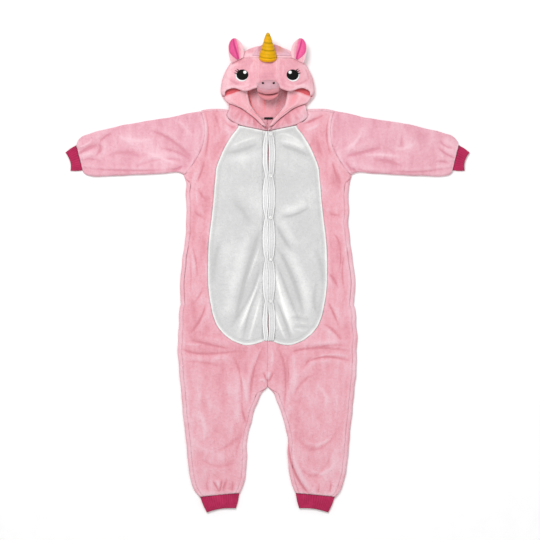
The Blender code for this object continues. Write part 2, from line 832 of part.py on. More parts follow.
def muzzle_top(x, share):
    """The stuffed pad's height above the face, over its own outline."""
    across = math.sqrt(max(1 - (x / MUZZLE_HALF) ** 2, 0))
    return MUZZLE_EDGE + MUZZLE_HEIGHT * across * stuffed(share)


def make_muzzle():
    """The stuffed upper pad on the face, and the lip that hangs below the mouth line."""

    def pad(on_top):
        def point(u, row):
            x = -MUZZLE_HALF * math.cos(math.pi * u)
            rise = abs(math.sin(math.pi * u)) ** MUZZLE_ROUNDING
            share = row / MUZZLE_ROWS
            y = blend(mouth_y(x), blend(MUZZLE_SHOULDER, MUZZLE_TOP, rise), share)
            base = dome_height(x + MUZZLE_X, y) + 2 * GAP
            return Vector((x + MUZZLE_X, y, base + (muzzle_top(x, share) if on_top else 0)))

        return point

    def lip(on_top):
        def point(u, row):
            across = 2 * u - 1
            share = row / LIP_ROWS
            width = LIP_END_WIDTH + LIP_MORE_WIDTH * (1 - across**2)
            y = mouth_y(LIP_HALF * across) - 3 * GAP - width * share
            thickness = LIP_EDGE + LIP_SWELL * stuffed(share) if on_top else 0
            return Vector((LIP_HALF * across + MUZZLE_X, y, LIP_BASE + thickness))

        return point

    wall("muzzle_pad", MUZZLE_COLUMNS, MUZZLE_ROWS, pad(True), pad(False), LILAC)
    wall("muzzle_lip", MUZZLE_COLUMNS, LIP_ROWS, lip(True), lip(False), LILAC)


def make_button(name, radius, taper, depth, segments, place, colour, roughness):
    """A small round piece with its axis upright, such as a snap or a nostril."""
    mesh = bmesh.new()
    sizes = {"radius1": radius, "radius2": radius * taper, "depth": depth}
    bmesh.ops.create_cone(mesh, cap_ends=True, segments=segments, **sizes)
    bmesh.ops.translate(mesh, vec=place, verts=mesh.verts)
    place_object(name, mesh, colour, roughness)


def make_nostril(side):
    x, y = NOSTRIL_PLACE[0] * side, NOSTRIL_PLACE[1]
    share = (y - mouth_y(x)) / (MUZZLE_TOP - mouth_y(x))
    place = (x + MUZZLE_X, y, dome_height(x, y) + muzzle_top(x, share) + NOSTRIL_LIFT)
    sizes = (NOSTRIL_RADIUS, NOSTRIL_TAPER, NOSTRIL_DEPTH)
    make_button(sided("nostril", side), *sizes, 8, place, BLACK, FELT_SHINE)


def make_horn():
    """A stuffed satin cone on the forehead, leaning back over the crown."""

    def point(u, row):
        turn = 2 * math.pi * u
        radius, run = HORN_RADIUS * HORN_ROWS[row].radius, HORN_LENGTH * HORN_ROWS[row].run
        x = HORN_BASE[0] + radius * math.cos(turn)
        rise = radius * math.sin(turn)
        y = HORN_BASE[1] + run * math.cos(HORN_TILT) - rise * math.sin(HORN_TILT)
        z = HORN_BASE_HEIGHT + run * math.sin(HORN_TILT) + rise * math.cos(HORN_TILT)
        clear = HORN_FACE_CLEAR if y < HORN_MANE_Y else HORN_MANE_CLEAR
        return Vector((x, y, max(z, dome_height(x, y) + clear)))

    mesh, _, _ = mapped_grid(HORN_COLUMNS, len(HORN_ROWS) - 1, point)
    place_object("horn", mesh, GOLD, SATIN_SHINE)


def ear_point(side, u, row, height):
    """A point of the ear: u runs from its outer to its inner edge, rows from foot to tip."""
    entry = EAR_ROWS[row]
    across = 1 - 2 * u
    offset = entry.half_width * across
    slant = EAR_SLANT * offset * (1 - entry.along) ** 2
    x = blend(EAR_FOOT[0], EAR_TIP[0], entry.along) + offset
    y = blend(EAR_FOOT[1], EAR_TIP[1], entry.along) - slant
    z = EAR_FOOT_HEIGHT - EAR_WALL + EAR_RISE * entry.along + EAR_CUP * across**2
    floor = dome_height(x, y) + EAR_CLEAR
    return mirrored((x, y, max(z, floor) + height), side)


def make_ear(side):
    """The plush back of the ear, and the bright lining on its outer two thirds."""

    def surface(height, span):
        def point(u, row):
            return ear_point(side, blend(*span, u), row, height)

        return point

    rows = len(EAR_ROWS) - 1
    whole = (0, 1)
    outside, inside = surface(EAR_WALL, whole), surface(0, whole)
    wall(sided("ear", side), EAR_COLUMNS, rows, outside, inside, PINK)
    base = EAR_WALL + 2 * GAP
    outside, inside = surface(base + LINING_WALL, LINING_SPAN), surface(base, LINING_SPAN)
    wall(sided("ear_lining", side), LINING_COLUMNS, rows, outside, inside, ROSE)


def make_snaps():
    """The snaps' caps on the left band, from the neckline down."""
    for index in range(SNAP_COUNT):
        y = SNAP_TOP - SNAP_PITCH * index
        face = TOP + PLACKET_STEP + fold_lift(SNAP_X, y)
        place = (SNAP_X, y, face + GAP + SNAP_HEIGHT / 2)
        sizes = (SNAP_RADIUS, SNAP_TAPER, SNAP_HEIGHT)
        make_button(f"snap_{index + 1}", *sizes, 12, place, PEARL, SNAP_SHINE)


def make_label():
    mesh = bmesh.new()
    bmesh.ops.create_cube(mesh, size=1)
    bmesh.ops.scale(mesh, vec=LABEL_SIZE, verts=mesh.verts)
    place = (*LABEL_PLACE, WALL + GAP + LABEL_SIZE[2] / 2)
    bmesh.ops.translate(mesh, vec=place, verts=mesh.verts)
    place_object("neck_label", mesh, BLACK, FELT_SHINE)


ONESIE = clear_scene()
for SIDE in (1, -1):
    make_fronts(SIDE)
    make_back(SIDE)
    make_belly(SIDE)
    make_placket(SIDE)
    stations = (FRONT_STATIONS, BACK_STATIONS)
    make_tube("sleeve", SIDE, SLEEVE_ROWS, stations, WALL, PINK, GAP / 2)
    make_tube("wrist_cuff", SIDE, WRIST_CUFF_ROWS, CUFF_STATIONS, RIB_WALL, MAGENTA, GAP)
    make_tube("ankle_cuff", SIDE, ANKLE_CUFF_ROWS, CUFF_STATIONS, RIB_WALL, MAGENTA, 0)
    make_hood_strip("hood_border", SIDE, BORDER_ROWS, BORDER_COLUMNS, BORDER_SWELL)
    make_hood_strip("hood_neck", SIDE, NECK_ROWS, NECK_COLUMNS, 0)
    make_eyes(SIDE)
    make_nostril(SIDE)
    make_ear(SIDE)
make_face()
make_crown()
make_mane()
make_hood_back()
make_muzzle()
make_horn()
make_snaps()
make_label()
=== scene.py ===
import math
from collections import namedtuple

import bmesh
import bpy
import numpy as np
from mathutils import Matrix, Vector, noise


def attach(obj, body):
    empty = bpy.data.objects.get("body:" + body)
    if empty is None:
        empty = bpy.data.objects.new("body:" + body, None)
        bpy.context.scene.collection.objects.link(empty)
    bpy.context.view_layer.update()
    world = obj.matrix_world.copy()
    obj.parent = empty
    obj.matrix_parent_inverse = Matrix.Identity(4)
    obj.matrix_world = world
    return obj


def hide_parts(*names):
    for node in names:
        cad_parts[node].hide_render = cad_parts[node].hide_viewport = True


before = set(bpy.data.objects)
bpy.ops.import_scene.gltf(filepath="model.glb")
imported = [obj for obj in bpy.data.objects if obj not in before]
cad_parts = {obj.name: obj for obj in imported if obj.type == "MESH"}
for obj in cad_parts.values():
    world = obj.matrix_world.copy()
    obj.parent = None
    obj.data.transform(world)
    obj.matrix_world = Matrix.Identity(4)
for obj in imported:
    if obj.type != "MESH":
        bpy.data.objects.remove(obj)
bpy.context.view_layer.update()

# A child's hooded unicorn onesie in plush fleece, laid flat on its back with its front up.
# X runs to the wearer's left, Y to the head and Z up from the floor. Sizes and tables are in
# millimetres. They are for the wearer's left side and are mirrored, but each crease has its place.
MM = 0.001


# ---- Backs: each half of the back is one piece of pink plush with the back of its leg. They
# are joined down the middle, lie on the floor, and roll up round the shoulder, the side and
# the inside of the leg to the seams on the front.
WALL = 3.0
ROLL = 4.9
TOP = 2 * ROLL
SEAM_INSET = 10.0
SEAM_GAP = 0.03
SETTLE = 1.8  # how far the upper layer sinks between its rolled edges
SETTLE_RUN = 45.0

ARMHOLE_TOP = (161, 390)
ARMHOLE_FOOT = (200, 236)
ARMHOLE_BOW = -26
SHOULDER_RISE = 3.5
SEAM_STEPS = 7  # stations down the armhole
POCKET_TOP = 67  # the pocket's opening in the side seam
POCKET_FOOT = -75

BodyRow = namedtuple("BodyRow", "edge_x edge_y seam_x seam_y back_y side_wrap")
# From the underarm to the crotch: the folded edge, the belly or centre front seam, the
# centre back, and how far the back has wrapped round the edge
BODY_ROWS = [
    BodyRow(197.5, 230, 126, 228, 264, 0.5),
    BodyRow(196, 216, 128, 208, 240, 1),
    BodyRow(196, 187, 130, 182, 208, 1),
    BodyRow(195, 139, 135, 134, 155, 1),
    BodyRow(198, 79, 142, 74, 90, 1),
    BodyRow(206, 26, 144, 19, 32, 1),
    BodyRow(210, -29, 143, -34, -25, 1),
    BodyRow(209, -72, 138, -72, -68, 1),
    BodyRow(213, -108, 129, -110, -100, 1),
    BodyRow(214, -132, 117, -134, -122, 1),
    BodyRow(215, -149, 100, -152, -138, 1),
    BodyRow(215, -163, 80, -165, -152, 1),
    BodyRow(215, -175, 56, -173, -164, 1),
    BodyRow(215, -186, 34, -172, -176, 1),
    BodyRow(215, -196, 15, -166, -188, 1),
    BodyRow(214.5, -208, 0, -163, -200, 1),
    BodyRow(213, -226, 0, -197, -220, 1),
    BodyRow(212, -245, 0, -232, -240, 1),
    BodyRow(210, -262, 0, -257, -257, 1),
]

LegRow = namedtuple("LegRow", "edge_x edge_y inner_x inner_y inner_wrap")
# From the crotch to the ankle: the outer and the inner folded edge
LEG_ROWS = [
    LegRow(209, -276, 3, -274, 0.5),
    LegRow(207.5, -290, 14, -289, 1),
    LegRow(206, -308, 22, -308, 1),
    LegRow(204, -329, 32, -329, 1),
    LegRow(201, -358, 40, -358, 1),
    LegRow(197, -395, 48, -395, 1),
    LegRow(193, -444, 49, -444, 1),
    LegRow(187, -486, 53, -486, 1),
    LegRow(180, -512, 59, -510, 1),
    LegRow(173, -526, 63, -521, 1),
    LegRow(163, -538, 67, -529, 1),
]
# Back neckline, then the centre back seam, at each station of the armhole
BACK_ARMHOLE = [(95, 388), (74, 380), (52, 374), (28, 369), (0, 368), (0, 340), (0, 318), (0, 295)]

Crease = namedtuple("Crease", "start_x start_y bend_x bend_y end_x end_y width height lean")
# Ridges and troughs of the upper side. Width is from the line to where it dies away, and a
# trough throws up a lip on the side that it leans to.
CREASES = [Crease(*row) for row in (
    # trunk, wearer's right
    (-148, -74, -162, -112, -185, -144, 5, -2.2, 1),
    (-156, -34, -163, -54, -177, -72, 5, -1.5, 1),
    (-180, 62, -172, 28, -169, -12, 6, -1.4, -1),
    (-188, 44, -184, 0, -186, -50, 5, -1.2, 1),
    (-176, 150, -164, 138, -150, 134, 7, -1.2, 1),
    (-166, 206, -160, 190, -146, 172, 8, -1.4, -1),
    (-172, 196, -170, 180, -168, 160, 6, 1.3, 0),
    (-186, -160, -140, -172, -90, -182, 6, -1.6, 1),
    (-206, -180, -160, -194, -66, -187, 7, -1.8, -1),
    (-204, -166, -180, -172, -150, -170, 6, 1.2, 0),
    (-196, -212, -150, -216, -110, -224, 9, -1.0, 1),
    # trunk, wearer's left
    (148, -2, 160, -16, 171, -40, 5, -2.0, -1),
    (145, -70, 158, -96, 173, -132, 5, -2.2, 1),
    (133, -122, 156, -136, 177, -162, 5, -2.0, -1),
    (173, 62, 176, 34, 172, 6, 5, -1.6, 1),
    (158, 96, 170, 78, 178, 46, 6, -1.3, 1),
    (184, 40, 180, 0, 186, -52, 5, -1.2, -1),
    (146, 150, 160, 140, 176, 142, 7, -1.2, 1),
    (54, -192, 120, -180, 205, -189, 6, -2.0, 1),
    (90, -218, 140, -202, 207, -214, 5, -2.0, -1),
    (102, -186, 150, -174, 196, -176, 5, -1.4, 1),
    (110, -206, 150, -196, 200, -202, 5, 1.4, 0),
    (84, -232, 96, -214, 104, -202, 5, -1.4, -1),
    # front of the hips, down to the legs
    (-11, -180, -33, -236, -42, -312, 5, -2.4, -1),
    (-14, -176, -26, -206, -30, -236, 6, 1.6, 0),
    (25, -180, 43, -244, 38, -336, 5, -2.0, 1),
    (43, -190, 50, -236, 50, -300, 5, -1.4, 1),
    (8, -172, 12, -206, 6, -232, 7, 1.1, 0),
    (-8, -238, -6, -250, 0, -261, 4, -2.2, 1),
    (12, -236, 10, -248, 2, -262, 4, -2.2, -1),
    (-24, -262, -12, -256, -6, -264, 5, 1.6, 0),
    (-82, -200, -64, -254, -62, -318, 6, -1.6, -1),
    (-62, -310, -58, -342, -48, -362, 7, -2.0, -1),
    (-70, -230, -54, -276, -50, -320, 7, 1.4, 0),
    (60, -196, 66, -240, 60, -300, 9, 1.4, 0),
    # wearer's right leg
    (-50, -374, -84, -408, -134, -434, 10, -0.9, 1),
    (-60, -388, -72, -420, -76, -452, 6, -1.0, -1),
    (-176, -396, -160, -420, -120, -432, 12, 0.8, 0),
    (-160, -446, -120, -464, -78, -452, 10, -0.8, 1),
    (-168, -330, -150, -372, -156, -404, 12, 1.4, 0),
    (-132, -500, -124, -512, -117, -526, 4, -2.4, 1),
    (-110, -496, -112, -512, -116, -526, 4, -2.6, -1),
    (-98, -498, -104, -512, -108, -526, 4, -1.8, 1),
    (-140, -490, -146, -510, -140, -528, 6, -1.3, 1),
    (-84, -500, -84, -514, -86, -526, 5, -1.4, 1),
    # wearer's left leg
    (50, -398, 64, -476, 108, -540, 5, -3.6, 1),
    (62, -430, 80, -486, 106, -522, 8, 1.2, 0),
    (60, -382, 118, -424, 174, -368, 9, -0.9, -1),
    (56, -420, 112, -488, 164, -404, 9, -0.9, -1),
    (78, -394, 120, -412, 160, -386, 9, 0.9, 0),
    (100, -470, 138, -480, 168, -446, 10, 1.4, 0),
    (62, -300, 84, -262, 112, -246, 10, -1.2, 1),
    (116, -262, 140, -300, 132, -336, 12, 1.2, 0),
    (150, -498, 152, -514, 146, -530, 5, -1.6, 1),
    (124, -504, 124, -518, 120, -532, 5, -1.4, -1),
    # chest and shoulders
    (-150, 384, -142, 334, -152, 272, 5, -1.6, -1),
    (-152, 272, -160, 240, -174, 212, 5, -1.8, -1),
    (-132, 388, -120, 362, -116, 330, 10, -1.2, 1),
    (-104, 370, -92, 354, -74, 350, 7, -1.4, -1),
    (152, 382, 142, 334, 154, 276, 5, -1.6, 1),
    (154, 272, 164, 240, 176, 214, 5, -1.8, 1),
    (78, 356, 106, 366, 136, 380, 7, -2.2, 1),
    (88, 344, 112, 350, 128, 362, 8, 1.2, 0),
    (118, 330, 124, 300, 134, 276, 12, -1.0, 1),
    # sleeve, wearer's right
    (-226, 368, -200, 352, -178, 318, 8, 1.0, 0),
    (-284, 342, -236, 322, -182, 276, 5, -1.9, 1),
    (-262, 300, -222, 292, -182, 270, 5, -1.4, -1),
    (-300, 296, -256, 276, -212, 262, 10, 1.5, 0),
    (-196, 264, -250, 274, -320, 254, 5, -1.3, -1),
    (-204, 258, -216, 250, -232, 247, 5, -3.0, 1),
    (-444, 253, -340, 246, -214, 249, 3.2, -1.3, 1),
    (-404, 312, -392, 326, -374, 336, 6, -1.8, 1),
    (-458, 284, -434, 298, -408, 308, 6, -3.4, -1),
    (-408, 312, -402, 298, -414, 280, 6, -2.4, 1),
    (-166, 388, -158, 340, -167, 286, 4.5, -1.5, 1),
    (-456, 302, -434, 310, -420, 324, 6, 1.4, 0),
    (-448, 270, -424, 274, -400, 268, 6, -1.4, 1),
    (-360, 330, -320, 318, -280, 322, 14, 1.2, 0),
    (-390, 280, -340, 290, -300, 276, 14, -1.2, 1),
    # sleeve, wearer's left
    (166, 388, 158, 340, 167, 286, 4.5, -1.5, -1),
    (188, 280, 228, 290, 274, 302, 7, -2.2, 1),
    (184, 296, 214, 318, 226, 352, 10, 1.8, 0),
    (206, 254, 256, 240, 304, 238, 5, -1.5, 1),
    (204, 252, 208, 248, 214, 242, 5, -3.0, -1),
    (256, 272, 290, 268, 326, 256, 8, -1.8, 1),
    (230, 282, 276, 284, 322, 278, 10, 1.5, 0),
    (444, 253, 360, 243, 300, 246, 3.2, -1.3, -1),
    (408, 303, 430, 286, 453, 276, 6, -2.2, 1),
    (452, 300, 430, 304, 414, 318, 6, -1.8, -1),
    (438, 262, 420, 268, 400, 266, 6, -1.4, 1),
    (326, 342, 322, 318, 326, 296, 9, -1.3, 1),
    (362, 322, 330, 300, 290, 306, 14, 1.2, 0),
    (186, 268, 196, 256, 204, 240, 6, -1.6, 1),
)]
BELLY_CREASES = [Crease(*row) for row in (
    (-17, 108, -50, 0, -80, -122, 12, -2.0, -1),
    (-17, 72, -34, 20, -60, -44, 6, 1.0, 0),
    (-17, 0, -38, -64, -68, -134, 5, 1.6, 0),
    (-17, 30, -40, -50, -92, -132, 9, -1.4, 1),
    (-17, -58, -30, -108, -46, -164, 5, 1.5, 0),
    (-17, -30, -44, -96, -58, -160, 6, -1.8, -1),
    (20, 118, 38, 84, 60, 52, 9, -1.8, 1),
    (22, 62, 60, -12, 86, -102, 10, -2.2, 1),
    (19, 2, 36, -68, 62, -150, 5, 1.5, 0),
    (19, 34, 46, -40, 80, -126, 7, -1.6, -1),
    (19, -90, 30, -128, 46, -164, 5, 1.4, 0),
    (19, -60, 40, -112, 56, -162, 6, -1.8, 1),
    (32, 136, 66, 140, 102, 160, 8, -1.8, 1),
    (54, -106, 76, -108, 104, -112, 5, -0.8, 1),
    (62, -118, 80, -119, 100, -124, 4, 0.6, 0),
    (66, -128, 84, -128, 100, -132, 4, -0.7, -1),
    (60, -136, 76, -137, 90, -142, 4, 0.5, 0),
    (-22, 326, -56, 318, -92, 302, 6, 0.7, 0),
    (-24, 312, -60, 296, -104, 288, 10, -1.6, 1),
    (24, 334, 50, 332, 80, 314, 6, 0.6, 0),
    (30, 308, 66, 296, 104, 280, 9, -2.0, 1),
    (26, 318, 60, 312, 92, 296, 7, 0.5, 0),
    (112, 60, 128, 20, 130, -30, 14, -1.0, 1),
    (-112, 80, -126, 30, -128, -30, 14, -1.0, 1),
    (-90, 180, -60, 150, -40, 110, 20, -1.0, 1),
    (120, -20, 112, -70, 124, -100, 10, -1.0, -1),
)]
SettledArea = namedtuple("SettledArea", "low_x high_x low_y high_y")
# Where the upper layer has settled on the lower one, the same on each side
SETTLED_AREAS = [
    SettledArea(-182, 182, -262, 205),
    SettledArea(-150, 150, 60, 345),
    SettledArea(62, 172, -530, -150),
    SettledArea(212, 440, 250, 340),
]
CREASE_PIECES = 14
LIP_SHARE = 0.6
Swell = namedtuple("Swell", "height size seed")
SWELLS = [Swell(0.6, 62, 3), Swell(0.35, 24, 8), Swell(0.22, 9, 5)]
LOWEST_FOLD = -3.2  # so that the upper layer stays clear of the lower one


def ripple(x, y, size, seed):
    """Soft unevenness between about -1 and 1, with lumps of the given size."""
    return 2 * np.array([noise.noise(Vector((a / size, b / size, seed))) for a, b in zip(x, y)])


def hump(distance, width):
    """1 in the middle, and dying away on both sides."""
    return np.exp(-((distance / width) ** 2))


def unit(share):
    """Keeps a share between 0 and 1."""
    return np.clip(share, 0, 1)


def crease_shape(crease, x, y):
    """Height of one crease at the plan points, and its painted shade and highlight, 0 away from it."""
    lift, shade_and_nap = np.zeros(len(x)), np.zeros(len(x))
    start = np.array((crease.start_x, crease.start_y), float)
    bend = np.array((crease.bend_x, crease.bend_y), float)
    end = np.array((crease.end_x, crease.end_y), float)
    reach = 4 * crease.width
    low = np.minimum(np.minimum(start, bend), end) - reach
    high = np.maximum(np.maximum(start, bend), end) + reach
    near = (x > low[0]) & (x < high[0]) & (y > low[1]) & (y < high[1])
    if not near.any():
        return lift, shade_and_nap
    share = np.linspace(0, 1, CREASE_PIECES + 1)[:, None]
    control = 2 * bend - (start + end) / 2
    line = start * (1 - share) ** 2 + control * 2 * share * (1 - share) + end * share**2
    base, step = line[:-1], np.diff(line, axis=0)
    offset = np.stack([x[near], y[near]], axis=1)[:, None] - base
    along = unit((offset * step).sum(2) / (step * step).sum(1))
    away = offset - along[:, :, None] * step
    distance = np.hypot(away[:, :, 0], away[:, :, 1])
    best = distance.argmin(axis=1)
    picked = np.arange(len(best))
    cross = step[best, 0] * away[picked, best, 1] - step[best, 1] * away[picked, best, 0]
    aside = distance[picked, best] * np.sign(cross)
    place = (best + along[picked, best]) / CREASE_PIECES
    fade = np.sin(math.pi * unit(place)) ** 0.7
    core = hump(aside, max(0.34 * crease.width, 1.8))
    shape = 0.55 * core + 0.45 * np.exp(-((abs(aside) / crease.width) ** 1.5))
    if crease.lean:
        to_lip = aside * crease.lean - 1.9 * crease.width
        shape = shape - LIP_SHARE * hump(to_lip, 1.2 * crease.width)
    lift[near] = crease.height * fade * shape
    # The crease's colour is painted shade: darker in a trough, lighter on a ridge and on the lip that a
    # trough throws up.
    shade_and_nap[near] = 0.13 * crease.height * fade * (shape + core)
    return lift, shade_and_nap


def settled(x, y):
    """0 at the rolled edges and 1 where the upper layer has sunk on the lower one."""
    deepest = np.zeros(len(x))
    for area in SETTLED_AREAS:
        aside = np.minimum(abs(x) - area.low_x, area.high_x - abs(x))
        margin = np.minimum(aside, np.minimum(y - area.low_y, area.high_y - y))
        share = unit(margin / SETTLE_RUN)
        deepest = np.maximum(deepest, share * share * (3 - 2 * share))
    return deepest


def with_creases(lift, shade_and_nap, creases, x, y):
    """Adds every crease of a table to a height and to its painted shade and highlight."""
    for crease in creases:
        raised, tone_and_shade = crease_shape(crease, x, y)
        lift, shade_and_nap = lift + raised, shade_and_nap + tone_and_shade
    return lift, shade_and_nap


def relief(x, y, creases):
    """Height of the upper side's folds, swells and settling at the plan points, and their painted shade
    and highlight.
    """
    swell = sum(part.height * ripple(x, y, part.size, part.seed) for part in SWELLS)
    lift = swell - SETTLE * settled(x, y)
    # The swells are painted lighter where they rise and darker where they sink.
    lift, shade_and_nap = with_creases(lift, 0.07 * swell, creases, x, y)
    return np.maximum(lift, LOWEST_FOLD), shade_and_nap


def armhole(count):
    """Plan points down the armhole seam, from the shoulder fold to the underarm."""
    top, foot = np.array(ARMHOLE_TOP, float), np.array(ARMHOLE_FOOT, float)
    inset = ROLL / np.linalg.norm(foot - top)
    share = np.linspace(inset, 1 - inset, count + 1)[:, None]
    bowed = np.hstack([ARMHOLE_BOW * 4 * share * (1 - share), 0 * share])
    return top + (foot - top) * share + bowed


def mean_knots(*rails):
    """Distances along a piece at each of its rows, averaged over its rails."""
    steps = [np.linalg.norm(np.diff(np.array(rail, float), axis=0), axis=1) for rail in rails]
    return np.concatenate([[0], np.cumsum(np.mean(steps, axis=0))])


def smooth_line(points, knots, at):
    """Reads a smooth curve that passes each point at its knot."""
    points = np.array(points, float)
    steps = np.diff(knots)[:, None]
    slopes = np.diff(points, axis=0) / steps
    middle = (slopes[1:] * steps[:-1] + slopes[:-1] * steps[1:]) / (steps[1:] + steps[:-1])
    turns = np.vstack([slopes[:1], middle, slopes[-1:]])
    row = np.clip(np.searchsorted(knots, at, side="right") - 1, 0, len(knots) - 2)
    span = steps[row]
    s = (at - knots[row])[:, None] / span
    curve = points[row] * (2 * s**3 - 3 * s**2 + 1) + points[row + 1] * (3 * s**2 - 2 * s**3)
    return curve + span * (turns[row] * (s**3 - 2 * s**2 + s) + turns[row + 1] * (s**3 - s**2))


def wobble(y, side, reach=1.3):
    """How far a folded edge strays from its line."""
    notch = 1.8 * hump(y - POCKET_FOOT, 5)
    return reach * ripple(y, np.full(len(y), 40.0 * side), 34, 2) - notch


def seam_depth(y):
    """How deep the side seam lies: deepest at the pocket, where it is left open."""
    inside = unit(np.minimum(POCKET_TOP - y, y - POCKET_FOOT) / 12)
    return 0.32 + 1.4 * inside


def seam_dip(distance, depth, reach=5.5):
    """How far a piece turns down towards the seam at its edge."""
    left = unit(1 - distance / reach)
    return depth * (1 - np.sqrt(unit(1 - left**2)))


def between(start, end, share):
    """Points on the way from start to end, at each one's own share of it."""
    return start * (1 - share[:, None]) + end * share[:, None]


def distance_to(line, x, y):
    """Least plan distance from each point to a line of closely spaced points."""
    nearest = np.full(len(x), 1e9)
    for point in line:
        nearest = np.minimum(nearest, (x - point[0]) ** 2 + (y - point[1]) ** 2)
    return np.sqrt(nearest)


def cloth_grid(columns, rows, surface):
    """A grid whose crossing in each column and row lies where surface puts it."""
    mesh = bmesh.new()
    bmesh.ops.create_grid(mesh, x_segments=columns, y_segments=rows, size=0.5)
    across = np.array([round((vert.co.x + 0.5) * columns) for vert in mesh.verts])
    along = np.array([round((vert.co.y + 0.5) * rows) for vert in mesh.verts])
    places, shade_and_nap = surface(across, along)
    # Each point keeps a value of painted shade and highlight, with some tone of its own.
    shade = mesh.verts.layers.float.new("shade_and_nap")
    for vert, place, tone_and_shade in zip(mesh.verts, places * MM, shade_and_nap):
        vert.co = place
        vert[shade] = tone_and_shade
    bmesh.ops.remove_doubles(mesh, verts=mesh.verts, dist=1e-6)
    return mesh


def sew_in(name, mesh, material, nodes, wall=0.0, faces_up=None):
    """Makes the object, gives it a wall inwards, and puts it in its CAD nodes' place."""
    bmesh.ops.recalc_face_normals(mesh, faces=mesh.faces)
    rise = sum(face.normal.z * face.calc_area() for face in mesh.faces)
    if faces_up is not None and (rise > 0) != faces_up:
        bmesh.ops.reverse_faces(mesh, faces=mesh.faces)
    data = bpy.data.meshes.new(name)
    mesh.to_mesh(data)
    mesh.free()
    data.shade_smooth()
    data.materials.append(material)
    piece = bpy.data.objects.new(f"{name}_finished", data)
    bpy.context.scene.collection.objects.link(piece)
    if wall:
        thick = piece.modifiers.new("wall", "SOLIDIFY")
        thick.thickness = wall * MM
        thick.offset = -1
    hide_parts(*nodes)
    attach(piece, "root")
    return piece


def sided(name, side):
    return f"{name}_{'left' if side > 0 else 'right'}"


def linked_noise(tree, places, scale, size, detail, twist=0.0):
    """A noise pattern on the piece, stretched by scale."""
    mapping = tree.nodes.new("ShaderNodeMapping")
    mapping.inputs["Scale"].default_value = scale
    tree.links.new(places, mapping.inputs["Vector"])
    pattern = tree.nodes.new("ShaderNodeTexNoise")
    pattern.inputs["Scale"].default_value = size
    pattern.inputs["Detail"].default_value = detail
    pattern.inputs["Distortion"].default_value = twist
    tree.links.new(mapping.outputs["Vector"], pattern.inputs["Vector"])
    return pattern.outputs["Fac"]


def weighed(tree, terms, offset):
    """The sum of patterns, each times its weight, plus an offset."""
    total = None
    for output, weight in terms:
        step = tree.nodes.new("ShaderNodeMath")
        step.operation = "MULTIPLY_ADD"
        step.inputs[1].default_value = weight
        tree.links.new(output, step.inputs[0])
        if total is None:
            step.inputs[2].default_value = offset
        else:
            tree.links.new(total, step.inputs[2])
        total = step.outputs[0]
    return total


def colour_steps(tree, source, stops):
    """Turns a pattern into colours, from the first stop to the last."""
    ramp = tree.nodes.new("ShaderNodeValToRGB")
    while len(ramp.color_ramp.elements) < len(stops):
        ramp.color_ramp.elements.new(0.5)
    for element, (place, colour) in zip(ramp.color_ramp.elements, stops):
        element.position = place
        element.color = (*colour, 1)
    tree.links.new(source, ramp.inputs["Fac"])
    return ramp.outputs["Color"]


def shaken_normal(tree, layers):
    """Bump from fine to coarse: each layer is a pattern and its height in millimetres."""
    normal = None
    for source, height in layers:
        bump = tree.nodes.new("ShaderNodeBump")
        bump.inputs["Distance"].default_value = height * MM
        bump.inputs["Strength"].default_value = 1
        tree.links.new(source, bump.inputs["Height"])
        if normal is not None:
            tree.links.new(normal, bump.inputs["Normal"])
        normal = bump.outputs["Normal"]
    return normal


def new_finish(name, roughness):
    """A fresh material, its node tree, its shader and its object coordinates."""
    material = bpy.data.materials.new(name)
    material.use_nodes = True
    tree = material.node_tree
    shader = tree.nodes["Principled BSDF"]
    shader.inputs["Roughness"].default_value = roughness
    places = tree.nodes.new("ShaderNodeTexCoord").outputs["Object"]
    return material, tree, shader, places


def shade_and_nap_of(tree):
    """Painted shade and highlight, with some tone of the pile's own, as kept on the cloth's points."""
    shade_and_nap = tree.nodes.new("ShaderNodeAttribute")
    shade_and_nap.attribute_name = "shade_and_nap"
    return shade_and_nap.outputs["Fac"]


def plush(name, deep, middle, light, sheen, patchy=1.0, hollow=None):
    """Short brushed pile: patches and streaks of nap, a fine grain and a soft sheen."""
    material, tree, shader, places = new_finish(name, 0.92)
    patches = linked_noise(tree, places, (1, 0.55, 1), 15, 3, 0.8)
    streaks = linked_noise(tree, places, (1, 0.3, 1), 62, 3, 0.5)
    grain = linked_noise(tree, places, (1, 1, 1), 520, 3)
    tufts = linked_noise(tree, places, (1, 1, 1), 170, 2, 0.4)
    fine = 0.4 + 0.6 * patchy
    terms = [(patches, 0.5 * patchy), (streaks, 0.6 * patchy)]
    terms += [(grain, 0.4 * fine), (tufts, 0.3 * fine)]
    middle_value = 0.5 - 0.5 * sum(weight for _, weight in terms)
    # The value on the cloth's points adds its painted shade and highlight, and the lowest stop, hollow,
    # is the colour of the deepest painted shade.
    value = weighed(tree, [*terms, (shade_and_nap_of(tree), 1.0)], middle_value)
    stops = [(0.0, hollow or deep), (0.22, deep), (0.5, middle), (0.85, light)]
    tree.links.new(colour_steps(tree, value, stops), shader.inputs["Base Color"])
    normal = shaken_normal(tree, [(grain, 1.1), (tufts, 1.7), (streaks, 2.3)])
    tree.links.new(normal, shader.inputs["Normal"])
    shader.inputs["Specular IOR Level"].default_value = 0.15
    shader.inputs["Sheen Weight"].default_value = sheen
    shader.inputs["Sheen Roughness"].default_value = 0.45
    shader.inputs["Sheen Tint"].default_value = (1, 0.92, 0.94, 1)
    return material


PINK = plush("pink plush", (0.64, 0.25, 0.30), (0.745, 0.355, 0.415), (0.79, 0.50, 0.56), 0.25)

EDGE_COLUMNS = 12
FLAT_COLUMNS = 30
BACK_COLUMNS = 2 * EDGE_COLUMNS + FLAT_COLUMNS
ROLL_ROWS = 6
ROW_SPACING = 3.2
EDGE_EASE = 0.15  # how far the back's edge stops short of the front's
FULL_PATH = math.pi * ROLL + SEAM_INSET - ROLL - EDGE_EASE
PART_ROLL_DROP = 0.45

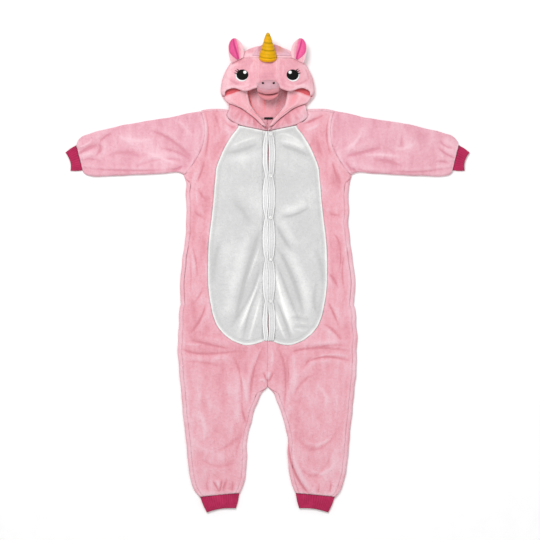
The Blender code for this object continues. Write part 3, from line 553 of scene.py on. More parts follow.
shoulder = armhole(SEAM_STEPS)
back_outer = [*shoulder, *[(row.edge_x, row.edge_y) for row in BODY_ROWS]]
back_outer += [(row.edge_x, row.edge_y) for row in LEG_ROWS]
back_inner = [*BACK_ARMHOLE, *[(0, row.back_y) for row in BODY_ROWS]]
back_inner += [(row.inner_x, row.inner_y) for row in LEG_ROWS]
back_knots = mean_knots(back_outer, back_inner)
outer_wraps = [0] * len(shoulder) + [row.side_wrap for row in BODY_ROWS] + [1] * len(LEG_ROWS)
inner_wraps = [0] * (len(shoulder) + len(BODY_ROWS)) + [row.inner_wrap for row in LEG_ROWS]
back_rows = math.ceil(back_knots[-1] / ROW_SPACING)


def edge_roll(path, wrap):
    """Inward distance and height of cloth that has run a path round a folded edge."""
    turn = np.minimum(path / ROLL, math.pi)
    inward = ROLL * wrap - ROLL * np.sin(turn) + np.maximum(path - math.pi * ROLL, 0)
    return inward, ROLL - ROLL * np.cos(turn)


def part_roll(wrap):
    """How high a roll stands, as a share of a full one, where it is still coming round."""
    return 1 - PART_ROLL_DROP * np.sin(math.pi * wrap)


def shoulder_rise(x, at):
    """How far the shoulder bulges up between the neck and the armhole."""
    across = unit((ARMHOLE_TOP[0] - x) / (ARMHOLE_TOP[0] - BACK_ARMHOLE[0][0]))
    return SHOULDER_RISE * np.sin(math.pi * across**0.8) * unit(1 - at / 30)


def back_surface(side):
    at = np.linspace(0, back_knots[-1], back_rows + 1)
    outer = smooth_line(back_outer, back_knots, at)
    inner = smooth_line(back_inner, back_knots, at)
    inner[:, 0] = np.maximum(inner[:, 0], SEAM_GAP)
    wraps = np.interp(at, back_knots, outer_wraps), np.interp(at, back_knots, inner_wraps)
    outer[:, 0] += wobble(outer[:, 1], side) * wraps[0]
    inner[:, 0] += wobble(inner[:, 1], 2 * side) * wraps[1]

    def surface(across, along):
        row = np.maximum(along - ROLL_ROWS, 0)
        u = across / BACK_COLUMNS
        start, end, first, last = outer[row], inner[row], wraps[0][row], wraps[1][row]
        span = end - start
        facing = span / np.linalg.norm(span, axis=1)[:, None] * last[:, None]
        facing += np.array((-1, 0)) * (1 - last[:, None])
        edge = EDGE_COLUMNS / BACK_COLUMNS
        near, far = edge * first, edge * last
        near_path = FULL_PATH * first * unit(1 - u / np.maximum(near, 1e-6))
        far_path = FULL_PATH * last * unit(1 - (1 - u) / np.maximum(far, 1e-6))
        near_in, near_z = edge_roll(near_path, first)
        far_in, far_z = edge_roll(far_path, last)
        share = unit((u - near) / (1 - near - far))[:, None]
        flat = (start + facing * (ROLL * first)[:, None]) * (1 - share)
        flat += (end - facing * (ROLL * last)[:, None]) * share
        plan = np.where((u < near)[:, None], start + facing * near_in[:, None], flat)
        plan = np.where((u > 1 - far)[:, None], end - facing * far_in[:, None], plan)
        plan[:, 0] = np.maximum(plan[:, 0], SEAM_GAP)
        height = near_z * part_roll(first) + far_z * part_roll(last)
        turn = math.pi * (0.5 - along / ROLL_ROWS)
        rolled = along < ROLL_ROWS
        plan[:, 1] += np.where(rolled, ROLL * np.cos(turn), 0)
        plan[:, 1] += shoulder_rise(plan[:, 0], at[row])
        height = np.where(rolled, ROLL + ROLL * np.sin(turn), height)
        x, y = plan[:, 0] * side, plan[:, 1]
        lift, shade_and_nap = relief(x, y, CREASES)
        over = unit(height / ROLL - 1)
        under = unit(1 - height / 1.5) * unit(ripple(x, y, 30, 6) - 0.35)
        to_seam = np.where(u < 0.5, FULL_PATH - near_path, FULL_PATH - far_path)
        dip = np.where(over > 0, seam_dip(to_seam, 1, 3.5) * seam_depth(y), 0)
        dip = np.where(rolled, 0.2 * (along == 0), dip)
        puff = 0.5 * ripple(x + height, y, 16, 4) * unit(height / ROLL)
        height = height + over * lift + 0.8 * under - dip + puff
        # Painted shade and highlight: the creases' only on the part that has come up on top, and that
        # part painted lighter as it comes over its roll.
        return np.stack([x, y, np.maximum(height, 0)], axis=1), shade_and_nap * over + 0.22 * over

    return surface


for side in (1, -1):
    mesh = cloth_grid(BACK_COLUMNS, ROLL_ROWS + back_rows, back_surface(side))
    name = sided("back", side)
    piece = sew_in(name, mesh, PINK, [name], WALL, faces_up=False)


# ---- Fronts: each is one piece of pink plush, from the shoulder down past the belly to the
# ankle. It is sewn to the back along the side and the inside leg, and cut out for the belly.
FRONT_COLUMNS = 70
# Neckline, then the top of the belly seam, at each station of the armhole
FRONT_ARMHOLE = [(95, 388), (98, 378), (88, 365), (70, 355)]
FRONT_ARMHOLE += [(86, 331), (102, 305), (116, 274), (124, 250)]


def moved_along(start, end, distance):
    """The point that lies a distance from start on the way to end."""
    start, end = np.array(start, float), np.array(end, float)
    return start + (end - start) / np.linalg.norm(end - start) * distance


front_outer = [*shoulder]
front_outer += [(row.edge_x - SEAM_INSET * row.side_wrap, row.edge_y) for row in BODY_ROWS]
front_inner = [*FRONT_ARMHOLE, *[(row.seam_x, row.seam_y) for row in BODY_ROWS]]
for row in LEG_ROWS:
    edge, leg_edge = (row.edge_x, row.edge_y), (row.inner_x, row.inner_y)
    front_outer.append(moved_along(edge, leg_edge, SEAM_INSET))
    front_inner.append(moved_along(leg_edge, edge, SEAM_INSET * row.inner_wrap))
front_knots = back_knots  # both edges of a seam are read at the same rows
# How far the cloth's grain sags under the belly's foot, at each row of the body
FRONT_SAG = [0] * 11 + [3, 6, 14, 18, 18, 12, 7, 3]
front_sags = [0] * len(shoulder) + FRONT_SAG + [0] * len(LEG_ROWS)
CENTRE_KNOTS = front_knots[[len(shoulder) + row for row in (13, 15, 18, 20)]]
CENTRE_DEPTHS = (0.4, 0.03, 0.03, 0.3)  # of the centre seam, at those knots
PART_WRAP = (0.02, 0.98)  # a back between these is still coming round


def spread(count):
    """Columns that stand closer together at both edges."""
    even = np.arange(count + 1) / count
    return 0.45 * even + 0.55 * (1 - np.cos(math.pi * even)) / 2


def catch_up(wrap):
    """How far a front reaches past its seam line to a back that is still coming round."""
    return SEAM_INSET * wrap - edge_roll(FULL_PATH * wrap, wrap)[0] - SEAM_GAP


def front_surface(side, rows):
    at = np.linspace(0, front_knots[-1], rows + 1)
    outer = smooth_line(front_outer, front_knots, at)
    inner = smooth_line(front_inner, front_knots, at)
    wraps = np.interp(at, front_knots, outer_wraps)
    leg_wraps = np.interp(at, front_knots, inner_wraps)
    outer[:, 0] += wobble(outer[:, 1], side) * wraps + catch_up(wraps)
    inner[:, 0] = np.maximum(inner[:, 0], 0) + wobble(inner[:, 1], 2 * side) * leg_wraps
    inner[:, 0] = np.maximum(inner[:, 0] - catch_up(leg_wraps), SEAM_GAP)
    edge_height = [
        edge_roll(FULL_PATH * wrap, wrap)[1] * part_roll(wrap) for wrap in (wraps, leg_wraps)
    ]
    least, most = PART_WRAP
    coming_round = [(wrap > least) & (wrap < most) for wrap in (wraps, leg_wraps)]
    clear_top = [np.clip(end + WALL + 0.5, 2 * WALL + 0.5, TOP) for end in edge_height]
    edge_drop = [np.where(part, TOP - top, 0) for part, top in zip(coming_round, clear_top)]
    sag = np.interp(at, front_knots, front_sags)
    fine = np.linspace(0, front_knots[-1], 2 * rows + 1)
    edges = smooth_line(front_outer, front_knots, fine), smooth_line(front_inner, front_knots, fine)
    edges[0][:, 0] = np.interp(fine, at, outer[:, 0])
    edges[1][:, 0] = np.interp(fine, at, inner[:, 0])
    depth = np.interp(at, CENTRE_KNOTS, CENTRE_DEPTHS)
    share = spread(FRONT_COLUMNS)

    def surface(across, along):
        u = share[across]
        plan = between(outer[along], inner[along], u)
        plan[:, 1] -= sag[along] * 4 * u * (1 - u)
        x, y = plan[:, 0] * side, plan[:, 1] + shoulder_rise(plan[:, 0], at[along])
        lift, shade_and_nap = relief(x, y, CREASES)
        from_outer, from_inner = (distance_to(edge, plan[:, 0], y) for edge in edges)
        dip = seam_dip(from_outer, 1, 3.5) * seam_depth(y)
        dip = dip + seam_dip(from_inner, 1, 4) * depth[along]
        dip = np.maximum(dip, seam_dip(at[along] * 2, 0.3))
        loose = np.maximum(
            coming_round[0][along] * np.exp(-from_outer / 8),
            coming_round[1][along] * np.exp(-from_inner / 8),
        )
        lift = lift * (1 - loose)
        dip = dip + edge_drop[0][along] * np.exp(-from_outer / 5)
        dip = dip + edge_drop[1][along] * np.exp(-from_inner / 5)
        hem = front_knots[-1] - at[along]
        dip = np.maximum(dip, seam_dip(hem, 2.2, 9))
        ridge = hump(from_inner - 4, 3) * np.minimum(depth[along] * 2, 1)
        ridge = ridge + hump(from_outer - 4, 3)
        gather = unit(1 - hem / 26) ** 1.5 * ripple(x * 3.2, y * 0.4, 20, 7)
        height = TOP + lift + 0.35 * ridge - dip + 1.2 * gather
        # Painted highlight on the ridges beside the seams; the cloth is also lighter towards the hem and
        # down the legs.
        shade_and_nap = shade_and_nap + 0.12 * ridge + 0.3 * unit(1 - hem / 14)
        shade_and_nap = shade_and_nap + 0.08 * unit((-160 - y) / 120)
        return np.stack([x, y, height], axis=1), shade_and_nap

    return surface


FINE_SPACING = 2.6  # between the rows of the upper side's cloth
front_rows = math.ceil(front_knots[-1] / FINE_SPACING)
for side in (1, -1):
    mesh = cloth_grid(FRONT_COLUMNS, front_rows, front_surface(side, front_rows))
    name, under = sided("front", side), sided("back", side)
    piece = sew_in(name, mesh, PINK, [name], WALL, faces_up=True)


# ---- Belly: two halves of white plush with a finer pile, set into the fronts on a curved
# seam. Their turned edges make a raised rim, and their inner edges go under the placket.
BELLY_COLUMNS = 50
BELLY_FIRST = 3
BELLY_LAST = len(shoulder) + 13
BELLY_EDGE_X = 5  # under the placket
BELLY_WALL = 2.0
BELLY_SINK = 2.6  # how far it goes down under the bands
BELLY_SHARE = 0.48  # of the folds' full height
# Where each belly row, and the foot of the belly seam, meets the placket
BELLY_PLACKET_Y = [342, 318, 294, 266, 243, 224, 205, 178, 130, 72, 17, -36, -74, -106]
BELLY_PLACKET_Y += [-126, -140, -150, -157, -163.5]
WHITE = plush("white plush", (0.50, 0.50, 0.50), (0.60, 0.605, 0.60), (0.90, 0.90, 0.89), 0.1, 0.1)

# The bands' outer edges between the snaps, and at one
BAND_EDGES = {1: (18.8, 13.6), -1: (12.4, 5.8)}
placket_knots = front_knots[BELLY_FIRST : BELLY_LAST + 1]


def belly_surface(side, rows):
    at = np.linspace(placket_knots[0], placket_knots[-1], rows + 1)
    outer = smooth_line(front_inner, front_knots, at)
    placket = [(BELLY_EDGE_X, y) for y in BELLY_PLACKET_Y]
    inner = smooth_line(placket, placket_knots, at)
    fine = np.linspace(placket_knots[0], front_knots[len(shoulder) + 16], 2 * rows + 1)
    seam = smooth_line(front_inner, front_knots, fine)
    share = spread(BELLY_COLUMNS)

    def surface(across, along):
        u = 0.002 + 0.998 * share[across]
        plan = between(outer[along], inner[along], u)
        x, y = plan[:, 0] * side, plan[:, 1]
        lift, shade_and_nap = relief(x, y, BELLY_CREASES)
        rim = distance_to(seam, plan[:, 0], y)
        rim = np.minimum(rim, 0.95 * (at[along] - placket_knots[0]) + 0.2)
        raised = hump(rim - 2.8, 1.9)
        allowance = hump(rim - 10.5, 2.0)
        dip = seam_dip(rim, 0.5, 1.6)
        covered = BAND_EDGES[side][0] + 1.5
        under = BELLY_SINK * unit((covered - plan[:, 0]) / 3)
        height = TOP + BELLY_SHARE * lift + 0.7 * raised - 0.5 * allowance - dip - under
        # Painted highlight on the raised rim, and painted shade in the groove over the seam allowance.
        shade_and_nap = shade_and_nap + 0.27 * raised - 0.1 * allowance
        return np.stack([x, y, height], axis=1), shade_and_nap

    return surface


belly_rows = math.ceil((placket_knots[-1] - placket_knots[0]) / FINE_SPACING)
for side in (1, -1):
    mesh = cloth_grid(BELLY_COLUMNS, belly_rows, belly_surface(side, belly_rows))
    name, under = sided("belly", side), sided("back", side)
    piece = sew_in(name, mesh, WHITE, [name], BELLY_WALL, faces_up=True)


# ---- Placket: two doubled bands of white plush down the middle, topstitched, with five
# pressed snaps. Each snap pinches them, and they gape between the first and the last pairs.
BAND_COLUMNS = 12
BAND_TOP = 341
BAND_FOOT = -163
BAND_WALL = 1.2
BAND_LIFT = 1.7
BAND_MEETING = 1.8  # how far past the middle the bands meet
SNAP_TOP = 334
SNAP_PITCH = 100.5
SNAP_COUNT = 5
SNAP_X = 7.5
GAPES = (2.4, 0, 0, 0, 2.0)
BAND_WHITE = plush("placket band", (0.54, 0.54, 0.54), (0.68, 0.68, 0.68), (0.90, 0.90, 0.90), 0.1, 0.2)


def pinch(y):
    """1 at a snap and at the foot of the placket, and 0 half way between two."""
    step = np.clip((SNAP_TOP - y) / SNAP_PITCH, -0.08, SNAP_COUNT)
    return 1 - abs(np.sin(math.pi * np.clip(step, 0, None))) ** 0.7


def gape(y):
    """Half the opening between the bands."""
    step = np.clip((SNAP_TOP - y) / SNAP_PITCH, 0, SNAP_COUNT - 0.01)
    return np.array(GAPES)[step.astype(int)] * np.sin(math.pi * (step % 1)) ** 2 / 2


def band_surface(side, rows):
    y_of = np.linspace(BAND_TOP, BAND_FOOT, rows + 1)
    share = spread(BAND_COLUMNS)

    def surface(across, along):
        u, y = share[across], y_of[along]
        tight = pinch(y)
        full, pinched = BAND_EDGES[side]
        outer = full + (pinched - full) * tight + 0.5 * ripple(y, y * 0, 21, 9 + side)
        meeting = BAND_MEETING - 1.2 * tight + 0.8 * ripple(y, y * 0, 26, 4)
        inner = SEAM_GAP + gape(y) + meeting * side
        x = outer + (inner - outer) * u
        rim = np.minimum(u, 1 - u) * (outer - inner)
        lift, shade_and_nap = relief(x * side, y, BELLY_CREASES)
        puff = 1.2 * np.sin(math.pi * u) ** 0.6 * (1 - 0.6 * tight)
        edges = 0.7 * hump(rim - 2.0, 1.1) - 0.5 * hump(rim - 4.2, 0.9)
        height = TOP + BAND_LIFT + 0.5 * lift + puff + edges * 0.8 - 0.8 * tight
        height -= seam_dip(rim, 1.2, 2.0) + (0.5 if side < 0 else 0)
        # Painted highlight on the turned edges, and painted shade in the stitch grooves and at the snaps'
        # pinches; the band on the wearer's right is lighter all over.
        shade = 0.55 * edges + (0.12 if side < 0 else 0.0) - 0.2 * tight
        return np.stack([x * side, y, height], axis=1), shade

    return surface


def close_ends(mesh):
    """Fills what is still open."""
    ends = [edge for edge in mesh.edges if edge.is_boundary]
    bmesh.ops.holes_fill(mesh, edges=ends, sides=0)


def even_finish(name, roughness, stretch, size, tones, height, socket, strength):
    """A finish with one fine pattern for its two tones and, with a height, for its bump."""
    material, tree, shader, places = new_finish(name, roughness)
    pattern = linked_noise(tree, places, stretch, size, 2)
    tree.links.new(colour_steps(tree, pattern, tones), shader.inputs["Base Color"])
    if height:
        tree.links.new(shaken_normal(tree, [(pattern, height)]), shader.inputs["Normal"])
    shader.inputs[socket].default_value = strength
    return material


snap_tones = [(0.3, (0.60, 0.60, 0.60)), (0.7, (0.72, 0.72, 0.71))]
snap_plastic = even_finish(
    "clear snap plastic", 0.28, (1, 1, 1), 400, snap_tones, 0.15, "Coat Weight", 0.3
)

# Each cap is a low turned dome with a sunk middle: radius and height from there to its foot
SNAP_PROFILE = [(0, 0.9), (1.2, 0.9), (2.0, 1.5), (3.4, 1.6), (4.6, 1.1), (5.0, 0.3), (4.8, 0)]
SNAP_RADIUS = 5.0
SNAP_STEPS = 24
FACE_ORDER = Vector((1, 40, 1600))  # mostly by height, then up the garment, then across it
band_rows = math.ceil((BAND_TOP - BAND_FOOT) / 2.4)
band_height = {}
for side in (1, -1):
    mesh = cloth_grid(BAND_COLUMNS, band_rows, band_surface(side, band_rows))
    for vert in mesh.verts:
        if side > 0 and abs(vert.co.x / MM - SNAP_X) < SNAP_RADIUS:
            key = round(vert.co.y / MM)
            band_height[key] = max(band_height.get(key, 0), vert.co.z / MM)
    name, under = sided("placket", side), sided("belly", side)
    piece = sew_in(name, mesh, BAND_WHITE, [name], BAND_WALL, faces_up=True)

for index in range(SNAP_COUNT):
    y = SNAP_TOP - SNAP_PITCH * index
    seat = max(top for key, top in band_height.items() if abs(key - y) < SNAP_RADIUS)
    mesh = bmesh.new()
    profile = [mesh.verts.new((x * MM, 0, z * MM)) for x, z in SNAP_PROFILE]
    edges = [mesh.edges.new(pair) for pair in zip(profile, profile[1:])]
    turn = {"axis": (0, 0, 1), "cent": (0, 0, 0), "angle": math.tau, "steps": SNAP_STEPS}
    bmesh.ops.spin(mesh, geom=[*profile, *edges], use_merge=True, **turn)
    bmesh.ops.remove_doubles(mesh, verts=mesh.verts, dist=1e-6)
    close_ends(mesh)
    # The turning leaves the faces in no fixed order, so they are put in one
    mesh.faces.sort(key=lambda face: face.calc_center_median().dot(FACE_ORDER))
    place = (SNAP_X * MM, y * MM, (seat + 0.05) * MM)
    bmesh.ops.translate(mesh, vec=place, verts=mesh.verts)
    sew_in(f"snap_{index + 1}", mesh, snap_plastic, [f"snap_{index + 1}"])


# ---- Sleeves: pink plush tubes set into the armholes, laid flat, and gathered into the
# cuffs.
TubeRow = namedtuple("TubeRow", "top_x top_y foot_x foot_y bow roll")
# Sections between the upper and the lower folded edge
SLEEVE_ROWS = [
    TubeRow(*ARMHOLE_TOP, *ARMHOLE_FOOT, ARMHOLE_BOW, ROLL),
    TubeRow(196, 383, 215, 242, -12, 5.4),
    TubeRow(239, 373, 248, 240, -5, 5.8),
    TubeRow(289, 366, 294, 237, 0, 6),
    TubeRow(344, 356, 344, 235, 0, 6),
    TubeRow(395, 344, 392, 233, 0, 5.8),
    TubeRow(428, 335, 421, 233, 0, 5.5),
    TubeRow(446, 328, 435, 236, 0, 5.2),
    TubeRow(456, 318, 442, 241, 0, 4.8),
    TubeRow(460, 308, 444.5, 246, 0, 4.4),
]
SLEEVE_FACE = 50  # columns on the upper side
SLEEVE_UNDER = 30
TUBE_ROLL = 10
SLEEVE_PINK = plush("sleeve plush", (0.65, 0.28, 0.35), (0.74, 0.385, 0.455), (0.82, 0.53, 0.60), 0.25)


def tube_place(table, knots, at, step, counts):
    """Plan points and heights round a flattened tube, and how far each faces up."""
    face, under = counts
    total = face + under + 2 * TUBE_ROLL
    entries = smooth_line([tuple(row) for row in table], knots, at)
    top, foot, bow, roll = entries[:, :2], entries[:, 2:4], entries[:, 4], entries[:, 5]
    inset = roll / np.linalg.norm(foot - top, axis=1)
    share = inset + (1 - 2 * inset) * spread(face)[np.clip(step, 0, face)]
    height = 2 * roll
    turn = math.pi * (0.5 - (step - face) / TUBE_ROLL)
    lower = (step > face) & (step <= face + TUBE_ROLL)
    share = np.where(lower, 1 - inset + inset * np.cos(turn), share)
    height = np.where(lower, roll + roll * np.sin(turn), height)
    back = (step > face + TUBE_ROLL) & (step <= face + TUBE_ROLL + under)
    run = (step - face - TUBE_ROLL) / under
    share = np.where(back, 1 - inset - (1 - 2 * inset) * run, share)
    height = np.where(back, 0, height)
    upper = step > total - TUBE_ROLL
    turn = math.pi * (-0.5 - (step - total + TUBE_ROLL) / TUBE_ROLL)
    share = np.where(upper, inset + inset * np.cos(turn), share)
    height = np.where(upper, roll + roll * np.sin(turn), height)
    plan = between(top, foot, share)
    plan[:, 0] += bow * 4 * share * (1 - share)
    return plan, height, unit(height / roll - 1), share


def table_knots(table):
    return mean_knots([row[:2] for row in table], [row[2:4] for row in table])


def sleeve_surface(side, rows):
    knots = table_knots(SLEEVE_ROWS)
    at_row = np.linspace(0, knots[-1], rows + 1)
    total = SLEEVE_FACE + SLEEVE_UNDER + 2 * TUBE_ROLL

    def surface(across, along):
        at = at_row[along]
        counts = (SLEEVE_FACE, SLEEVE_UNDER)
        plan, height, over, share = tube_place(SLEEVE_ROWS, knots, at, across % total, counts)
        x, y = plan[:, 0] * side, plan[:, 1]
        lift, shade_and_nap = relief(x, y, CREASES)
        to_cuff = knots[-1] - at
        gather = unit(1 - to_cuff / 34) ** 1.4
        pleat = gather * ripple(x * 0.3 + height, y * 2.6, 20, 12 + side)
        edge = ripple(x, y * 0 + height, 30, 14) * unit(1 - abs(height / ROLL - 1))
        y = y + edge * 1.0 * np.where(share < 0.5, 1, -1)
        dip = seam_dip(at, 0.5, 3) + seam_dip(to_cuff, 1.2, 7)
        ridge = hump(at - 4.5, 3)
        height = height + over * (lift + 0.5 * ridge - dip) + 1.5 * pleat * (0.3 + over)
        # Painted highlight on the ridge beside the armhole seam, and the creases' painted shade on the
        # upper side; the cloth is also lighter towards the cuff.
        shade_and_nap = over * (shade_and_nap + 0.15 * ridge) + 0.25 * unit(1 - to_cuff / 12)
        return np.stack([x, y, np.maximum(height, 0)], axis=1), shade_and_nap

    return surface


sleeve_rows = math.ceil(table_knots(SLEEVE_ROWS)[-1] / FINE_SPACING)
for side in (1, -1):
    columns = SLEEVE_FACE + SLEEVE_UNDER + 2 * TUBE_ROLL
    mesh = cloth_grid(columns, sleeve_rows, sleeve_surface(side, sleeve_rows))
    name = sided("sleeve", side)
    piece = sew_in(name, mesh, SLEEVE_PINK, [name], WALL)


# ---- Cuffs: doubled tubes of magenta rib knit, folded back on themselves at the free end.
# Their fine ribs run from the plush to the free edge, which hollows a little.
CUFF_ROLL = 4.0
CUFF_WALL = 2.2
WRIST_CUFF_ROWS = [
    TubeRow(460.6, 307.2, 445.1, 247, 0, CUFF_ROLL - 0.3),
    TubeRow(474.5, 299, 460.5, 245.5, -2, CUFF_ROLL),
    TubeRow(486, 290, 474, 246, -4, CUFF_ROLL),
]
ANKLE_CUFF_ROWS = [
    TubeRow(162, -538.3, 67.8, -529.5, 0, CUFF_ROLL - 0.3),
    TubeRow(155, -557.5, 71, -548.5, 0, CUFF_ROLL),
    TubeRow(146, -576, 76, -566, 0, CUFF_ROLL),
]
CUFF_ROWS = 18
RIB_POINTS = 4
RIB_HEIGHT = 0.55
CUFF_HOLLOW = 4.0  # how far the free edge curves in at its middle


def cuff_surface(side, table, faces, hollow):
    knots = table_knots(table)
    at_row = np.linspace(0, knots[-1], CUFF_ROWS + 1)
    total = 2 * faces + 2 * TUBE_ROLL

    def surface(across, along):
        at = at_row[along]
        plan, height, over, share = tube_place(table, knots, at, across % total, (faces, faces))
        rib = np.cos(math.tau * across / RIB_POINTS)
        free = at / knots[-1]
        curve = 4 * share * (1 - share) * free**2
        plan = plan + np.outer(curve, hollow)
        x, y = plan[:, 0] * side, plan[:, 1]
        sway = 0.7 * ripple(x, y, 20, 15) * over
        turned = seam_dip((1 - free) * knots[-1], 1.6, 3)
        seam = seam_dip(at, 0.8, 3)
        height = height + (over - 0.5) * 2 * (RIB_HEIGHT * rib - turned - seam) + sway
        height = np.maximum(height, 0)
        # Painted highlight on the ribs' crests, and painted shade in the dip at the seam to the sleeve.
        return np.stack([x, y, height], axis=1), 0.16 * rib - 0.2 * seam

    return surface


magenta_rib, tree, shader, places = new_finish("magenta rib knit", 0.85)
grain = linked_noise(tree, places, (1, 1, 1), 700, 3)
patches = linked_noise(tree, places, (1, 1, 1), 60, 2)
value = weighed(tree, [(grain, 0.5), (patches, 0.5), (shade_and_nap_of(tree), 0.8)], 0.0)
rib_tones = [(0.15, (0.24, 0.008, 0.045)), (0.5, (0.42, 0.018, 0.085)), (0.9, (0.55, 0.04, 0.13))]
tree.links.new(colour_steps(tree, value, rib_tones), shader.inputs["Base Color"])
tree.links.new(shaken_normal(tree, [(grain, 0.7)]), shader.inputs["Normal"])
shader.inputs["Specular IOR Level"].default_value = 0.2
shader.inputs["Sheen Weight"].default_value = 0.1

CUFFS = [
    ("wrist_cuff", WRIST_CUFF_ROWS, (-1.5, 0), (0.120, 0.030), 44),
    ("ankle_cuff", ANKLE_CUFF_ROWS, (0, CUFF_HOLLOW), (0.182, 0.040), 72),
]
for name, table, hollow, cut, faces in CUFFS:
    for side in (1, -1):
        surface = cuff_surface(side, table, faces, hollow)
        mesh = cloth_grid(2 * faces + 2 * TUBE_ROLL, CUFF_ROWS, surface)
        node = sided(name, side)
        piece = sew_in(node, mesh, magenta_rib, [node], CUFF_WALL)


# ---- Hood, back: pink plush that lies on the floor from the crown to the neckline and
# turns up at its sides to the widest part of the hood. Its lining side shows in the opening.
HOOD_Y = 434
HOOD_RADIUS = 113
HOOD_RIM = 16
FACE_HEIGHT = 38
BACK_DEPTH = 30
HoodFootRow = namedtuple("HoodFootRow", "y half_width rim")
# The hood's back below its widest place, down to the neckline
HOOD_FOOT_ROWS = [
    HoodFootRow(434, 113, HOOD_RIM),
    HoodFootRow(420, 107, 15),
    HoodFootRow(408, 96, 13),
    HoodFootRow(398, 90, 10),
]
HOOD_FOOT_KNOTS = np.array([0, 0.33, 0.62, 0.85])  # its last knot is where it meets the neckline
# The neckline that it is sewn to, from the wearer's right to the left
NECKLINE = [(-95, 388), (-66, 378), (-35, 370), (0, 368.6), (35, 370), (66, 378), (95, 388)]
HOOD_EASE = 0.15  # half the gap at its seam with the face and the crown
HOOD_BACK_COLUMNS = 96
DOME_ROWS = 44
FOOT_ROWS = 26
# The centre back seam, and the two seams beside it, inside the hood
INNER_SEAMS = [Crease(*row) for row in (
    (-6, 470, -7, 420, -6, 372, 2.0, -1.2, 0),
    (-50, 466, -40, 410, -22, 380, 2.6, -1.4, 1),
    (52, 466, 46, 412, 24, 378, 2.6, -1.4, -1),
    (30, 452, 24, 424, 16, 398, 5, 1.6, 0),
    (-28, 450, -22, 420, -24, 396, 5, 1.4, 0),
)]


def hood_back_surface(across, along):
    turn = math.pi * across / HOOD_BACK_COLUMNS
    latitude = math.pi / 2 * (1 - np.minimum(along / DOME_ROWS, 1))
    ring = np.cos(latitude)
    half_width, rim = HOOD_RADIUS * ring, np.full(len(turn), float(HOOD_RIM))
    drop, y = BACK_DEPTH * ring, HOOD_Y + HOOD_RADIUS * np.sin(latitude)
    foot = unit((along - DOME_ROWS) / FOOT_ROWS)
    foot_end = HOOD_FOOT_KNOTS[-1]
    lower = smooth_line(HOOD_FOOT_ROWS, HOOD_FOOT_KNOTS, np.minimum(foot, foot_end))
    below = along > DOME_ROWS
    y = np.where(below, lower[:, 0], y)
    half_width = np.where(below, lower[:, 1], half_width)
    rim = np.where(below, lower[:, 2], rim)
    drop = np.where(below, lower[:, 2] + BACK_DEPTH - HOOD_RIM, drop)
    x = half_width * np.cos(turn)
    height = np.maximum(rim - HOOD_EASE - drop * np.sin(turn), 0)
    last = unit((foot - foot_end) / 0.15)
    neck_x = 93.5 * (1 - 2 * across / HOOD_BACK_COLUMNS)
    neck_y = np.interp(neck_x, *zip(*NECKLINE)) + 0.6
    neck_z = np.where(abs(neck_x) > 88, 6 * (abs(neck_x) - 88) / 5.5, 0)
    x, y = x * (1 - last) + neck_x * last, y * (1 - last) + neck_y * last
    height = height * (1 - last) + neck_z * last
    shade = np.zeros(len(x))
    for crease in INNER_SEAMS:
        raised, tone_and_shade = crease_shape(crease, x, y)
        height += np.maximum(raised, 0)
        shade += tone_and_shade
    side_swell = 0.8 * ripple(x, y + height, 26, 21) * unit(height / 8)
    out = np.stack([x / HOOD_RADIUS, (y - HOOD_Y) / HOOD_RADIUS], axis=1) * side_swell[:, None]
    places = np.stack([x + out[:, 0], y + out[:, 1], height], axis=1)
    # Painted shade and highlight: the inside seams' ridges and grooves, painted shade inside the hood
    # towards its sides, and the strip that rises to the rim painted lighter.
    inside = unit((13 - height) / 5)
    shaded = 0.35 * unit((abs(x) - 34) / 20) * (y < 470)
    return places, shade - shaded * inside + 0.2 * (1 - inside)


# A lighter, redder copy of the pink plush, lightened against the shade inside the hood; its two lowest
# stops are the coral of its painted shade.
HOOD_TONES_LIGHTENED = (0.92, 0.26, 0.29), (0.80, 0.37, 0.42), (0.85, 0.50, 0.55)
HOOD_PINK_LIGHTENED = plush("hood plush lightened against shade", *HOOD_TONES_LIGHTENED, 0.25, 0.7, (0.68, 0.12, 0.14))
mesh = cloth_grid(HOOD_BACK_COLUMNS, DOME_ROWS + FOOT_ROWS, hood_back_surface)
piece = sew_in("hood_back", mesh, HOOD_PINK_LIGHTENED, ["hood_back"], WALL, faces_up=False)


# ---- Hood, neck and border: the neck is gathered on to the neckline, and the border is a
# doubled band of pink plush round the face opening, sewn to the neck's upper edge.
StripRow = namedtuple("StripRow", "outer_x outer_y outer_z inner_x inner_y inner_z")
# The border, from under the brim down to the throat
BORDER_ROWS = [
    StripRow(99, 446, 19, 48, 446, 26),
    StripRow(105.5, 430, 19.8, 47, 431, 25),
    StripRow(103, 417, 19.2, 45, 420, 24),
    StripRow(94, 408, 18.4, 41, 405, 23),
    StripRow(78, 402, 18.2, 34, 394, 22),
    StripRow(62, 395, 18, 28, 385, 21),
    StripRow(47, 384, 18, 19, 376, 20),
    StripRow(30, 371, 17.8, 11, 366, 19),
    StripRow(14, 355, 17.5, 3, 353, 18),
]
# The neck, from the neckline up to the border
NECK_ROWS = [
    StripRow(95, 388, TOP, 90, 405.2, 14),
    StripRow(98, 378, TOP, 80, 401.7, 14),
    StripRow(87.0, 366.4, TOP, 68, 396.6, 14),
    StripRow(70.2, 357.1, TOP, 54, 388, 14),
    StripRow(42, 350, TOP, 37, 375.2, 13.5),
    StripRow(15, 344.7, TOP, 23, 362.8, 13),
    StripRow(1, 342, 10, 11, 351.5, 12.5),
]
BORDER_COLUMNS = 34
NECK_COLUMNS = 20
BORDER_SWELL = 4.5


def strip_rails(table, rows):
    outer = [row[:3] for row in table]
    inner = [row[3:] for row in table]
    knots = mean_knots(outer, inner)
    at = np.linspace(0, knots[-1], rows + 1)
    return smooth_line(outer, knots, at), smooth_line(inner, knots, at), at


